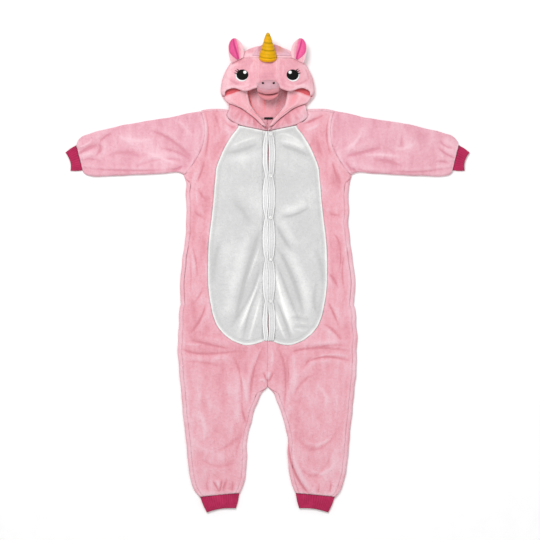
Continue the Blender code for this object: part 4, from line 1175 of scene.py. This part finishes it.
def border_surface(side, rows):
    outer, inner, at = strip_rails(BORDER_ROWS, rows)
    width = np.linalg.norm(outer - inner, axis=1)

    def surface(across, along):
        u = spread(BORDER_COLUMNS)[across]
        place = between(outer[along], inner[along], u)
        rim = np.minimum(u, 1 - u) * width[along]
        from_brim = at[along]
        fold = ripple(at[along] * 0.35, u * 60 + 20 * side, 14, 31)
        groove = 0.6 * hump(u - 0.66 + 0.05 * np.sin(from_brim / 30), 0.07)
        height = BORDER_SWELL * np.sin(math.pi * u) ** 0.7 + 0.9 * fold - 1.4 * groove
        height -= seam_dip(rim, 4.2, 5)
        hidden = 25 - 20 * u
        tuck = unit((hidden - from_brim) / 5)
        fold_edge = hump(from_brim - hidden - 3, 3)
        place[:, 2] += height - 3 * tuck * (1 - u)
        place[:, 0] = np.maximum(place[:, 0], SEAM_GAP) * side
        # Painted highlight on the raised folds, the rolled edges and the fold edge below the brim, and
        # painted shade in the groove and on the part tucked under the brim; it is also lighter all over.
        shade_and_nap = 0.12 * fold - 0.2 * groove + 0.35 * hump(rim - 2.5, 2.5)
        return place, shade_and_nap + 0.12 + 0.15 * fold_edge - 1.0 * tuck

    return surface


def neck_surface(side, rows):
    outer, inner, at = strip_rails(NECK_ROWS, rows)

    def surface(across, along):
        u = across / NECK_COLUMNS
        place = between(outer[along], inner[along], u)
        pleat = ripple(at[along] * 1.6, u * 6 + 50 * side, 15, 33)
        fade = np.sin(math.pi * unit(u * 0.9 + 0.06))
        bulge = 3.4 * np.sin(math.pi * unit(1 - u)) ** 0.8
        place[:, 2] += bulge + 2.0 * pleat * fade - seam_dip(u * 24, 0.6, 4)
        place[:, 0] = np.maximum(place[:, 0], SEAM_GAP) * side
        # Painted highlight and shade on the pleats, a lighter band beside the neckline seam, and painted
        # shade where the neck goes under the border.
        return place, 0.25 * pleat * fade + 0.2 * hump(u - 0.12, 0.1) - 0.3 * u**3

    return surface


border_length = strip_rails(BORDER_ROWS, 2)[2][-1]
neck_length = strip_rails(NECK_ROWS, 2)[2][-1]
for side in (1, -1):
    rows = math.ceil(neck_length / 1.8)
    mesh = cloth_grid(NECK_COLUMNS, rows, neck_surface(side, rows))
    name = sided("hood_neck", side)
    piece = sew_in(name, mesh, PINK, [name], WALL, faces_up=True)
    rows = math.ceil(border_length / 2.0)
    mesh = cloth_grid(BORDER_COLUMNS, rows, border_surface(side, rows))
    name = sided("hood_border", side)
    piece = sew_in(name, mesh, HOOD_PINK_LIGHTENED, [name], WALL, faces_up=True)
    under = ["hood_neck_left", "hood_neck_right"]


# ---- Face and crown: three panels of pink plush make the unicorn's face, sewn on either
# side of the muzzle, and the crown closes the hood behind them. The brim is turned under.
FACE_SEAM_X = 25
CROWN_SEAM_Y = 516
BRIM_Y = 438.5
BRIM_WAVE = 4
BRIM_PERIOD = 60
BRIM_DIP_X = 54
CROWN_LATITUDE = math.asin((CROWN_SEAM_Y - HOOD_Y) / HOOD_RADIUS)
SIDE_COLUMNS = 52
CENTRE_COLUMNS = 26
FACE_ROWS = 40
CROWN_COLUMNS = 110
CROWN_ROWS = 20
BRIM_ROWS = 5
FACE_SIDE_CUT = (0.105, 0.095, 0.0082)
FACE_CENTRE_CUT = (0.051, 0.090, 0.0043)
FACE_CREASES = [Crease(*row) for row in (
    (-22, 474, 0, 476, 22, 474, 4, -0.5, 1),
    (-20, 467, 2, 469, 22, 466, 4, -0.6, -1),
    (-96, 470, -80, 456, -60, 452, 7, -1.3, 1),
    (-88, 494, -78, 498, -62, 500, 7, 1.0, 0),
    (98, 466, 84, 456, 66, 450, 7, -1.3, 1),
    (40, 456, 60, 448, 84, 450, 6, 1.2, 0),
    (-40, 454, -56, 446, -84, 450, 6, 1.2, 0),
    (88, 492, 96, 480, 100, 462, 6, -1.2, 1),
    (-34, 506, -38, 490, -32, 470, 8, 1.0, 0),
    (36, 504, 38, 488, 34, 470, 8, 1.0, 0),
)]
FACE_PINK = plush("face plush", (0.63, 0.27, 0.33), (0.755, 0.36, 0.42), (0.84, 0.52, 0.57), 0.25)


def dome_height(x, y):
    """Height of the hood's upper half over a plan point."""
    reach = 1 - (x * x + (y - HOOD_Y) ** 2) / HOOD_RADIUS**2
    return HOOD_RIM + FACE_HEIGHT * np.sqrt(np.maximum(reach, 0))


def hood_dome(turn, latitude, lift):
    """Points of the hood's upper half, raised from it by lift."""
    ring = np.cos(latitude)
    x = (HOOD_RADIUS + lift) * ring * np.cos(turn)
    y = HOOD_Y + (HOOD_RADIUS + lift) * np.sin(latitude)
    z = HOOD_RIM + HOOD_EASE + (FACE_HEIGHT + lift) * ring * np.sin(turn)
    return np.stack([x, y, z], axis=1)


def hood_relief(x, y):
    swell = 0.5 * ripple(x, y, 34, 41) + 0.3 * ripple(x, y, 13, 44)
    return with_creases(swell, 0.10 * swell, FACE_CREASES, x, y)


def seam_turn(share):
    """The turn of the seam beside the centre panel, from the brim to the crown."""
    latitude = CROWN_LATITUDE * share
    return np.arccos(FACE_SEAM_X / (HOOD_RADIUS * np.cos(latitude)))


def face_surface(columns, turn_at, seam_edges):
    def surface(across, along):
        u = spread(columns)[across]
        share = unit((along - BRIM_ROWS) / FACE_ROWS)
        turn = turn_at(u, share)
        x_seam = abs(HOOD_RADIUS * np.cos(turn))
        wave = BRIM_WAVE * np.cos(math.tau * (x_seam - BRIM_DIP_X) / BRIM_PERIOD)
        corner = 10 * unit((x_seam - 100) / 10) ** 1.5
        brim = np.arcsin((BRIM_Y - wave - corner - HOOD_Y) / HOOD_RADIUS)
        latitude = brim + (CROWN_LATITUDE - brim) * share
        place = hood_dome(turn, latitude, 0 * turn)
        lift, shade_and_nap = hood_relief(place[:, 0], place[:, 1])
        beside_seam = abs(abs(place[:, 0]) - FACE_SEAM_X)
        to_seam = np.minimum(*[beside_seam if edge else 99 + 0 * u for edge in seam_edges])
        to_crown = (1 - share) * 80
        dip = seam_dip(to_seam, 0.5, 4) + seam_dip(to_crown, 1.2, 4)
        to_brim = share * 70
        dip = dip + seam_dip(to_brim, 3.2, 6)
        inside = np.clip(lift - dip, -3, 3)
        rim = np.clip(place[:, 2] - HOOD_RIM, 0, 12) / 12
        place = hood_dome(turn, latitude, inside * rim)
        tuck = (BRIM_ROWS - np.minimum(along, BRIM_ROWS)) / BRIM_ROWS
        place[:, 1] += 7 * tuck**1.5 * rim
        place[:, 2] -= 4.5 * np.sin(math.pi / 2 * tuck) * rim
        place[:, 0] *= 1 - 0.005 * np.clip(HOOD_Y - place[:, 1], 0, 20)
        # Painted highlight on the turned edges at the brim and the crown and beside the seams, paler
        # towards the sides, and painted shade on the brim where it turns under.
        pale = 0.25 * hump(to_brim - 3, 3) + 0.2 * hump(to_crown - 3, 3)
        pale = pale + 0.25 * unit((abs(place[:, 0]) - 66) / 30)
        return place, shade_and_nap + pale * rim + 0.12 * hump(to_seam - 2, 2) - 0.8 * tuck * rim

    return surface


def left_turn(u, share):
    return seam_turn(share) * (1 - u)


def right_turn(u, share):
    return math.pi - seam_turn(share) * (1 - u)


def centre_turn(u, share):
    start = seam_turn(share)
    return start + (math.pi - 2 * start) * u


FACE_PANELS = [
    ("face_left", SIDE_COLUMNS, left_turn, (True, False), FACE_SIDE_CUT),
    ("face_right", SIDE_COLUMNS, right_turn, (True, False), FACE_SIDE_CUT),
    ("face_centre", CENTRE_COLUMNS, centre_turn, (True, True), FACE_CENTRE_CUT),
]
for name, columns, turn_at, seams, cut in FACE_PANELS:
    mesh = cloth_grid(columns, BRIM_ROWS + FACE_ROWS, face_surface(columns, turn_at, seams))
    piece = sew_in(name, mesh, FACE_PINK, [name], WALL, faces_up=True)


def crown_surface(across, along):
    turn = math.pi * (1 - np.cos(math.pi * across / CROWN_COLUMNS)) / 2
    share = along / CROWN_ROWS
    latitude = CROWN_LATITUDE + (math.pi / 2 - CROWN_LATITUDE) * share
    place = hood_dome(turn, latitude, 0 * turn)
    lift, shade_and_nap = hood_relief(place[:, 0], place[:, 1])
    to_seam = share * 34
    ridge = 1.2 * hump(to_seam - 4, 3)
    lift = 0.6 * lift + ridge - seam_dip(to_seam, 1.6, 4)
    place = hood_dome(turn, latitude, lift * np.sin(turn))
    # Painted highlight on the ridge beside the crown seam, and lighter all over.
    return place, shade_and_nap + 0.3 * ridge + 0.2


mesh = cloth_grid(CROWN_COLUMNS, CROWN_ROWS, crown_surface)
piece = sew_in("hood_crown", mesh, FACE_PINK, ["hood_crown"], WALL, faces_up=True)


# ---- Mane: a strip of longer plush in soft bands of lilac, coral and pink over the crown,
# sewn on behind the horn.
MANE_TURNS = (math.radians(42), math.radians(118))
MANE_LATITUDES = (CROWN_LATITUDE + math.radians(1.7), math.radians(80))
MANE_COLUMNS = 70
MANE_ROWS = 30
MANE_WALL = 1.6
MANE_LIFT = 4.0  # of its top from the hood's round form


def mane_surface(across, along):
    u, v = across / MANE_COLUMNS, along / MANE_ROWS
    turn = MANE_TURNS[0] + (MANE_TURNS[1] - MANE_TURNS[0]) * u
    latitude = MANE_LATITUDES[0] + (MANE_LATITUDES[1] - MANE_LATITUDES[0]) * v
    edge = np.minimum(np.minimum(u, 1 - u) * 78, np.minimum(v, 1 - v) * 34)
    lock = ripple(u * 90, v * 22, 6, 51)
    lift = MANE_LIFT + 0.6 * lock - seam_dip(edge, 1.0, 6)
    return hood_dome(turn, latitude, lift), 0.25 * lock


CORAL = (0.62, 0.26, 0.22)
LILAC_PINK = (0.71, 0.42, 0.50)
MAUVE = (0.62, 0.27, 0.33)
mane_plush, tree, shader, places = new_finish("mane plush", 0.9)
bands = linked_noise(tree, places, (1, 0.6, 1), 90, 2, 0.4)
streaks = linked_noise(tree, places, (1, 0.2, 1), 140, 3, 0.6)
grain = linked_noise(tree, places, (1, 1, 1), 520, 3)
apart = tree.nodes.new("ShaderNodeSeparateXYZ")
tree.links.new(places, apart.inputs["Vector"])
value = weighed(tree, [(apart.outputs["X"], 10), (bands, 0.16), (streaks, 0.1)], 0.27)
mane_tones = [(0.05, CORAL), (0.12, LILAC_PINK), (0.2, MAUVE)]
mane_tones += [(0.6, MAUVE), (0.7, CORAL), (0.84, LILAC_PINK)]
upper = colour_steps(tree, value, mane_tones)
height = weighed(tree, [(apart.outputs["Y"], 100), (bands, 0.4)], -52.5)
mixed = tree.nodes.new("ShaderNodeMix")
mixed.data_type = "RGBA"
mixed.clamp_factor = True
mixed.inputs["A"].default_value = (*LILAC_PINK, 1)
tree.links.new(height, mixed.inputs["Factor"])
tree.links.new(upper, mixed.inputs["B"])
tree.links.new(mixed.outputs["Result"], shader.inputs["Base Color"])
tree.links.new(shaken_normal(tree, [(grain, 1.2), (streaks, 2.5)]), shader.inputs["Normal"])
shader.inputs["Sheen Weight"].default_value = 0.25
shader.inputs["Specular IOR Level"].default_value = 0.15
mesh = cloth_grid(MANE_COLUMNS, MANE_ROWS, mane_surface)
piece = sew_in("mane", mesh, mane_plush, ["mane"], MANE_WALL, faces_up=True)


# ---- Ears: soft leaves of pink plush, lightly stuffed and cupped. A bright rose plush
# lining is sewn on their outer two thirds, and has a fold down its middle.
EAR_FOOT = (72, 509)
EAR_TIP = (79, 562)
EAR_FOOT_HEIGHT = 36
EAR_RISE = 5
EAR_CUP = 4
EAR_CLEAR = 1.2  # its least height over the hood
EAR_WALL = 5
EAR_SLANT = 0.5
EAR_KNOTS = np.array([0.0, 0.2, 0.45, 0.7, 0.88, 1.0])
EAR_HALF_WIDTHS = [(14.0,), (17.2,), (18.3,), (16.8,), (13.2,), (10.0,)]
EAR_COLUMNS = 30
EAR_ROWS = 34
LINING_INNER = 0.66  # its inner edge, as a share of the ear's width
LINING_COLUMNS = 24
LINING_WALL = 0.8
ROSE = plush("rose ear lining", (0.52, 0.055, 0.19), (0.78, 0.11, 0.30), (0.88, 0.24, 0.42), 0.2, 0.5)


def ear_place(u, along):
    """Plan points of the ear, and the height of its underside."""
    at = along**0.9
    half = smooth_line(EAR_HALF_WIDTHS, EAR_KNOTS, at)[:, 0] * np.sqrt(unit(1.01 - at**9))
    across = 1 - 2 * u
    offset = half * across
    x = EAR_FOOT[0] + (EAR_TIP[0] - EAR_FOOT[0]) * at + offset
    y = EAR_FOOT[1] + (EAR_TIP[1] - EAR_FOOT[1]) * at - EAR_SLANT * offset * (1 - at) ** 2
    z = EAR_FOOT_HEIGHT - EAR_WALL + EAR_RISE * at + EAR_CUP * across**2
    return x, y, np.maximum(z, dome_height(x, y) + EAR_CLEAR)


def ear_body(u):
    """How full the ear is across its width, 0 at its edges."""
    return np.sqrt(unit(1 - (1 - 2 * u) ** 2)) ** 0.8


def face_or_back(across, columns):
    """Whether a column of a stuffed piece is on its face, and its share of the width."""
    around = across / columns
    top = around <= 0.5
    return top, np.where(top, around * 2, 2 - around * 2)


def ear_surface(side):
    def surface(across, along):
        top, u = face_or_back(across, 2 * EAR_COLUMNS)
        u = (1 - np.cos(math.pi * u)) / 2
        x, y, z = ear_place(u, along / EAR_ROWS)
        body = ear_body(u)
        tip = unit((1 - along / EAR_ROWS) * 8) ** 0.5
        swell = unit((u - 0.72) / 0.12)
        full = EAR_WALL * (0.35 + 0.65 * tip) * (0.3 + 0.7 * body) + 1.6 * swell * body
        z = z + np.where(top, full, 0) * unit(body * 3) + 2.2 * (1 - unit(body * 3))
        # Painted highlight where the ear swells beside its lining and on its rolled edges.
        shade_and_nap = 0.3 * swell + 0.3 * (1 - body)
        return np.stack([x * side, y, z], axis=1), shade_and_nap

    return surface


def lining_surface(side):
    def surface(across, along):
        share = across / LINING_COLUMNS
        v = 0.02 + 0.95 * along / EAR_ROWS
        outer = 0.05 + 0.48 * unit(1 - v / 0.42) ** 1.5
        u = outer + (LINING_INNER - outer) * share
        x, y, z = ear_place(u, v)
        body = ear_body(u)
        edge = np.minimum(share, 1 - share) * 22
        fold = hump(u - 0.6 + 0.26 * v, 0.045) * unit(4 - 4 * v)
        z = z + EAR_WALL * (0.3 + 0.7 * body) + 1.3 - seam_dip(edge, 0.8, 2) - 0.6 * fold
        # Painted shade in the fold; the lining is also lighter towards its inner edge.
        return np.stack([x * side, y, z], axis=1), 0.35 * (share - 0.5) - 0.8 * fold

    return surface


for side in (1, -1):
    mesh = cloth_grid(2 * EAR_COLUMNS, EAR_ROWS, ear_surface(side))
    close_ends(mesh)
    name = sided("ear", side)
    piece = sew_in(name, mesh, FACE_PINK, [name])
    mesh = cloth_grid(LINING_COLUMNS, EAR_ROWS, lining_surface(side))
    name, under = sided("ear_lining", side), sided("ear", side)
    piece = sew_in(name, mesh, ROSE, [name], LINING_WALL, faces_up=True)


# ---- Muzzle: a stuffed pad of lilac plush with two embroidered nostrils, and a stuffed lip
# that hangs under the mouth line in front of the opening.
MUZZLE_X = 2
MUZZLE_HALF = 26.5
MUZZLE_TOP = 461
MUZZLE_SHOULDER = 444
MOUTH_Y = 434
MOUTH_SAG = 7
MUZZLE_HEIGHT = 16
LIP_HALF = 25
LIP_BASE = 41
NOSTRIL_PLACE = (13, 453)
NOSTRIL_HALVES = (3.0, 2.5)
NOSTRIL_TILT = 0.4
PATCH_WALL = 0.4  # of the embroidery
STITCH_RUN = (1, 0.25, 1)
STITCH_SIZE = 900
PAD_COLUMNS = 44
PAD_ROWS = 26
LIP_ROWS = 14
PATCH_RINGS = 6
LILAC = plush("lilac muzzle plush", (0.70, 0.25, 0.28), (0.565, 0.31, 0.36), (0.66, 0.43, 0.50), 0.2, 0.5)


def mouth_y(x):
    return MOUTH_Y - MOUTH_SAG * (1 - (x / MUZZLE_HALF) ** 2)


def pad_outline(u, v):
    x = -MUZZLE_HALF * np.cos(math.pi * u)
    rise = abs(np.sin(math.pi * u)) ** 0.8
    top = MUZZLE_SHOULDER + (MUZZLE_TOP - MUZZLE_SHOULDER) * rise
    return x, mouth_y(x) + (top - mouth_y(x)) * v


def pad_height(x, v):
    across = np.sqrt(unit(1 - (x / MUZZLE_HALF) ** 2))
    belly = unit(np.sin(math.pi * unit(0.06 + 0.9 * v))) ** 0.55
    return 1.5 + MUZZLE_HEIGHT * across**0.6 * belly


def stuffed_surface(shape, columns, rows):
    """Wraps a stuffed piece: its face on the first half of the columns, its back on the rest."""

    def surface(across, along):
        top, u = face_or_back(across, columns)
        x, y, base, height = shape(u, (1 - np.cos(math.pi * along / rows)) / 2)
        puff = 0.3 * ripple(x, y, 8, 61)
        z = base + np.where(top & (u > 0) & (u < 1), height + puff, 0)
        low = unit(1 - (y - mouth_y(x)) / 9)
        groove = hump(y - mouth_y(x) - 8.5, 1.3)
        # Painted highlight where the pad puffs out and painted shade in the groove; the lowest part, by
        # the mouth, is rosier.
        shade_and_nap = 0.06 * puff - 0.32 * low - 0.2 * groove
        return np.stack([x + MUZZLE_X, y, z - 1.2 * groove * top], axis=1), shade_and_nap

    return surface


def pad_shape(u, v):
    x, y = pad_outline(u, v)
    return x, y, dome_height(x + MUZZLE_X, y) + 0.6, pad_height(x, v)


def lip_shape(u, v):
    across = 2 * u - 1
    width = 4 + 9 * np.sqrt(unit(1 - across**2))
    x = LIP_HALF * across
    y = mouth_y(x) - 1.0 - width * v
    swell = np.sqrt(unit(1 - across**2)) ** 0.5 * np.sin(math.pi * unit(0.1 + 0.8 * v)) ** 0.6
    return x, y, LIP_BASE + 0 * x, 2 + 11 * swell


MUZZLE_PARTS = [("muzzle_pad", pad_shape, PAD_ROWS, 0.9), ("muzzle_lip", lip_shape, LIP_ROWS, 0.8)]
for name, shape, rows, fill in MUZZLE_PARTS:
    mesh = cloth_grid(2 * PAD_COLUMNS, rows, stuffed_surface(shape, 2 * PAD_COLUMNS, rows))
    close_ends(mesh)
    piece = sew_in(name, mesh, LILAC, [name])

black_tones = [(0.3, (0.0015, 0.002, 0.0015)), (0.8, (0.006, 0.007, 0.006))]
black_felt = even_finish(
    "black embroidery", 0.75, STITCH_RUN, STITCH_SIZE, black_tones, 0.4, "Specular IOR Level", 0.12
)


def raised_spot(name, outline, centre, height_at, dome, material, nodes):
    """A low embroidered patch: rings from its outline in to its middle, on the cloth below."""
    count = len(outline)
    outline = np.array(outline, float)

    def surface(across, along):
        share = 1 - along / PATCH_RINGS
        plan = np.array(centre) + outline[across % count] * share[:, None]
        rise = dome * (1 - share**4)
        z = height_at(plan[:, 0], plan[:, 1]) + 0.5 + rise
        return np.stack([plan[:, 0], plan[:, 1], z], axis=1), 0 * z

    mesh = cloth_grid(count, PATCH_RINGS, surface)
    return sew_in(name, mesh, material, nodes, PATCH_WALL, faces_up=True)


def oval(half_x, half_y, tilt=0.0, count=40):
    turn = np.arange(count) / count * math.tau
    x, y = half_x * np.cos(turn), half_y * np.sin(turn)
    across = x * math.cos(tilt) - y * math.sin(tilt)
    return np.stack([across, x * math.sin(tilt) + y * math.cos(tilt)], axis=1)


def muzzle_face(x, y):
    local = x - MUZZLE_X
    rise = np.sqrt(unit(1 - (local / MUZZLE_HALF) ** 2)) ** 0.8
    top = MUZZLE_SHOULDER + (MUZZLE_TOP - MUZZLE_SHOULDER) * rise
    share = unit((y - mouth_y(local)) / (top - mouth_y(local)))
    return dome_height(x, y) + 0.6 + pad_height(local, share)


for side in (1, -1):
    centre = (NOSTRIL_PLACE[0] * side + MUZZLE_X, NOSTRIL_PLACE[1])
    name = sided("nostril", side)
    outline = oval(*NOSTRIL_HALVES, NOSTRIL_TILT * side, 20)
    raised_spot(name, outline, centre, muzzle_face, 0.5, black_felt, [name])


# ---- Eyes: embroidered in layers, a white ground that shows as a crescent, a black disc and
# a white glint, with three tapered lashes of black thread at the outer corner.
EYE_PLACE = (60, 474)
EYE_RADIUS = 13
GLINT_PLACE = (54, 480)
GLINT_RADIUS = 3.9
LASH_WIDTH = 2.6
LASH_COLUMNS = 4
LASH_ROWS = 12
# Where each lash starts and ends
LASHES = [((68.5, 483), (74.5, 489)), ((71, 480), (78, 485)), ((73, 476), (80.5, 479))]
white_tones = [(0.2, (0.78, 0.77, 0.77)), (0.8, (0.92, 0.92, 0.92))]
white_felt = even_finish(
    "white embroidery", 0.6, STITCH_RUN, STITCH_SIZE, white_tones, 0.4, "Sheen Weight", 0.1
)


def face_lift(above):
    """The face's own surface, raised."""

    def height(x, y):
        return dome_height(x, y) + hood_relief(x, y)[0] + above

    return height


for side in (1, -1):
    x, y = EYE_PLACE[0] * side, EYE_PLACE[1]
    name = sided("eye_white", side)
    outline, centre = oval(EYE_RADIUS + 1.8, EYE_RADIUS + 0.8), (x + 1.6 * side, y - 2.4)
    raised_spot(name, outline, centre, face_lift(0.2), 0.5, white_felt, [name])
    name = sided("eye_black", side)
    outline = oval(EYE_RADIUS + 1.2, EYE_RADIUS - 0.1)
    raised_spot(name, outline, (x, y), face_lift(1.1), 0.7, black_felt, [name])
    name = sided("eye_glint", side)
    outline, centre = oval(GLINT_RADIUS, GLINT_RADIUS), (GLINT_PLACE[0] * side, GLINT_PLACE[1])
    raised_spot(name, outline, centre, face_lift(2.3), 0.4, white_felt, [name])
    for index, (start, end) in enumerate(LASHES):
        start, end = np.array(start, float) * (side, 1), np.array(end, float) * (side, 1)

        def lash(across, along):
            v, u = along / LASH_ROWS, 2 * across / LASH_COLUMNS - 1
            run = end - start
            aside = np.array((-run[1], run[0])) / np.linalg.norm(run) * side
            bow = 0.9 * np.sin(math.pi * v)
            middle = start + np.outer(v, run) + np.outer(bow, aside)
            half = LASH_WIDTH / 2 * (1 - v) ** 0.7 + 0.12
            plan = middle + np.outer(half * u, aside)
            z = face_lift(1.4)(plan[:, 0], plan[:, 1]) + 0.35 * (1 - abs(u))
            return np.stack([plan[:, 0], plan[:, 1], z], axis=1), 0 * z

        mesh = cloth_grid(LASH_COLUMNS, LASH_ROWS, lash)
        name = sided(f"lash_{index + 1}", side)
        sew_in(name, mesh, black_felt, [], PATCH_WALL, faces_up=True)


# ---- Horn: a stuffed cone of gold satin, leaning back over the crown, wound with a thread
# that pulls grooves into it and makes it swell between them.
HORN_BASE = (1, 509)
HORN_BASE_HEIGHT = 40
HORN_RADIUS = 21.5
HORN_LENGTH = 68.5
HORN_TILT = math.radians(18)
HORN_KNOTS = np.array([0, 0.08, 0.14, 0.32, 0.52, 0.72, 0.88, 0.96, 1.0])
HORN_RADII = [(0.85,), (1.0,), (0.98,), (0.83,), (0.64,), (0.45,), (0.29,), (0.18,), (0.02,)]
HORN_RINGS = 7.85
HORN_FAINT = 0.3  # depth of every second groove
HORN_COLUMNS = 72
HORN_ROWS = 110
HORN_MANE_Y = 514


def horn_surface(across, along):
    turn = math.tau * across / HORN_COLUMNS
    run = along / HORN_ROWS
    radius = HORN_RADIUS * smooth_line(HORN_RADII, HORN_KNOTS, run)[:, 0]
    winding = run * HORN_RINGS - 0.1 + 0.12 * np.cos(turn)
    swell = np.sqrt(unit(1 - (2 * (winding % 1) - 1) ** 2))
    deep = np.round(winding) % 2 == 1
    swell = 1 - (1 - swell) * np.where(deep, 1, HORN_FAINT)
    fade = unit(run * 12 - 0.4) * unit((1 - run) * 7)
    radius = radius + 3.2 * (swell - 0.8) * fade * (1 - 0.5 * run)
    x = HORN_BASE[0] + radius * np.cos(turn)
    rise = radius * np.sin(turn)
    y = HORN_BASE[1] + HORN_LENGTH * run * math.cos(HORN_TILT) - rise * math.sin(HORN_TILT)
    z = HORN_BASE_HEIGHT + HORN_LENGTH * run * math.sin(HORN_TILT) + rise * math.cos(HORN_TILT)
    clear = np.where(y < HORN_MANE_Y, 1.1, MANE_LIFT + 0.7)
    z = np.maximum(z, dome_height(x, y) + clear)
    # Painted shade in the grooves and painted highlight on the swells between them, and painted light at
    # the base, against the shade it falls in.
    return np.stack([x, y, z], axis=1), (swell - 0.7) * fade + 0.9 * unit(1 - run / 0.2)


gold_satin, tree, shader, places = new_finish("gold satin", 0.42)
weave = linked_noise(tree, places, (1, 0.3, 1), 700, 2)
patches = linked_noise(tree, places, (1, 1, 1), 60, 2)
value = weighed(tree, [(weave, 0.3), (patches, 0.5), (shade_and_nap_of(tree), 0.7)], 0.15)
gold_tones = [(0.1, (0.36, 0.16, 0.001)), (0.5, (0.49, 0.295, 0.001)), (0.9, (0.78, 0.38, 0.002))]
tree.links.new(colour_steps(tree, value, gold_tones), shader.inputs["Base Color"])
tree.links.new(shaken_normal(tree, [(weave, 0.35)]), shader.inputs["Normal"])
shader.inputs["Specular IOR Level"].default_value = 0.12
mesh = cloth_grid(HORN_COLUMNS, HORN_ROWS, horn_surface)
close_ends(mesh)
piece = sew_in("horn", mesh, gold_satin, ["horn"])


# ---- Neck label: a folded black woven tape at the back of the neck, left bare.
LABEL_PLACE = (2.4, 372)
LABEL_SIZE = (20.5, 5.0)
LABEL_FOLD = 0.45
LABEL_WALL = 0.3
LABEL_COLUMNS = 24
LABEL_ROWS = 12
tape_tones = [(0.3, (0.0015, 0.0015, 0.0015)), (0.8, (0.008, 0.008, 0.008))]
label_tape = even_finish(
    "black label tape", 0.55, (1, 4, 1), 600, tape_tones, 0.3, "Specular IOR Level", 0.12
)


def label_surface(across, along):
    u, v = across / LABEL_COLUMNS - 0.5, along / LABEL_ROWS - 0.5
    fold = np.clip(math.pi * v * 1.3, -math.pi / 2, math.pi / 2)
    flat = LABEL_SIZE[1] * (1 - abs(v) * 2)
    y = LABEL_PLACE[1] - LABEL_SIZE[1] / 2 + flat
    z = 4.4 + LABEL_FOLD * np.sin(fold) + 0.25 * np.cos(3 * u)
    return np.stack([LABEL_PLACE[0] + LABEL_SIZE[0] * u, y, z], axis=1), 0 * u


mesh = cloth_grid(LABEL_COLUMNS, LABEL_ROWS, label_surface)
piece = sew_in("neck_label", mesh, label_tape, ["neck_label"], LABEL_WALL)


# ---- Floor, soft light and camera: a plain pale floor, one large lamp from the upper left,
# a weaker one from the right, and a camera that looks straight down.
FLOOR_SIZE = 30.0
CAMERA_PLACE = (0.006, 0.0072, 7.22)
CAMERA_LENS = 200

mesh = bmesh.new()
bmesh.ops.create_grid(mesh, x_segments=1, y_segments=1, size=FLOOR_SIZE / 2)
bmesh.ops.translate(mesh, vec=(0, 0, -0.0004), verts=mesh.verts)
floor_data = bpy.data.meshes.new("floor")
mesh.to_mesh(floor_data)
mesh.free()
floor = bpy.data.objects.new("floor", floor_data)
floor_tones = [(0.3, (0.92, 0.92, 0.92)), (0.7, (0.94, 0.94, 0.94))]
floor_paper = even_finish(
    "pale floor", 0.95, (1, 1, 1), 30, floor_tones, 0, "Specular IOR Level", 0.1
)
floor_data.materials.append(floor_paper)
bpy.context.scene.collection.objects.link(floor)

LAMPS = [
    ("main lamp", (-0.6, 1.2, 2.8), 1.3, 57),
    ("fill lamp", (1.3, -0.9, 2.8), 2.0, 16),
]
for name, place, size, power in LAMPS:
    lamp_data = bpy.data.lights.new(name, "AREA")
    lamp_data.shape = "DISK"
    lamp_data.size = size
    lamp_data.energy = power
    lamp = bpy.data.objects.new(name, lamp_data)
    lamp.location = place
    lamp.rotation_euler = (-Vector(place)).to_track_quat("-Z", "Y").to_euler()
    bpy.context.scene.collection.objects.link(lamp)

world = bpy.data.worlds.new("pale studio")
world.use_nodes = True
world.node_tree.nodes["Background"].inputs["Color"].default_value = (1, 1, 1, 1)
world.node_tree.nodes["Background"].inputs["Strength"].default_value = 0.56
bpy.context.scene.world = world
bpy.context.scene.view_settings.view_transform = "Standard"

camera_data = bpy.data.cameras.new("camera")
camera_data.lens = CAMERA_LENS
camera_data.clip_end = 40
camera = bpy.data.objects.new("camera", camera_data)
camera.location = CAMERA_PLACE
bpy.context.scene.collection.objects.link(camera)
bpy.context.scene.camera = camera
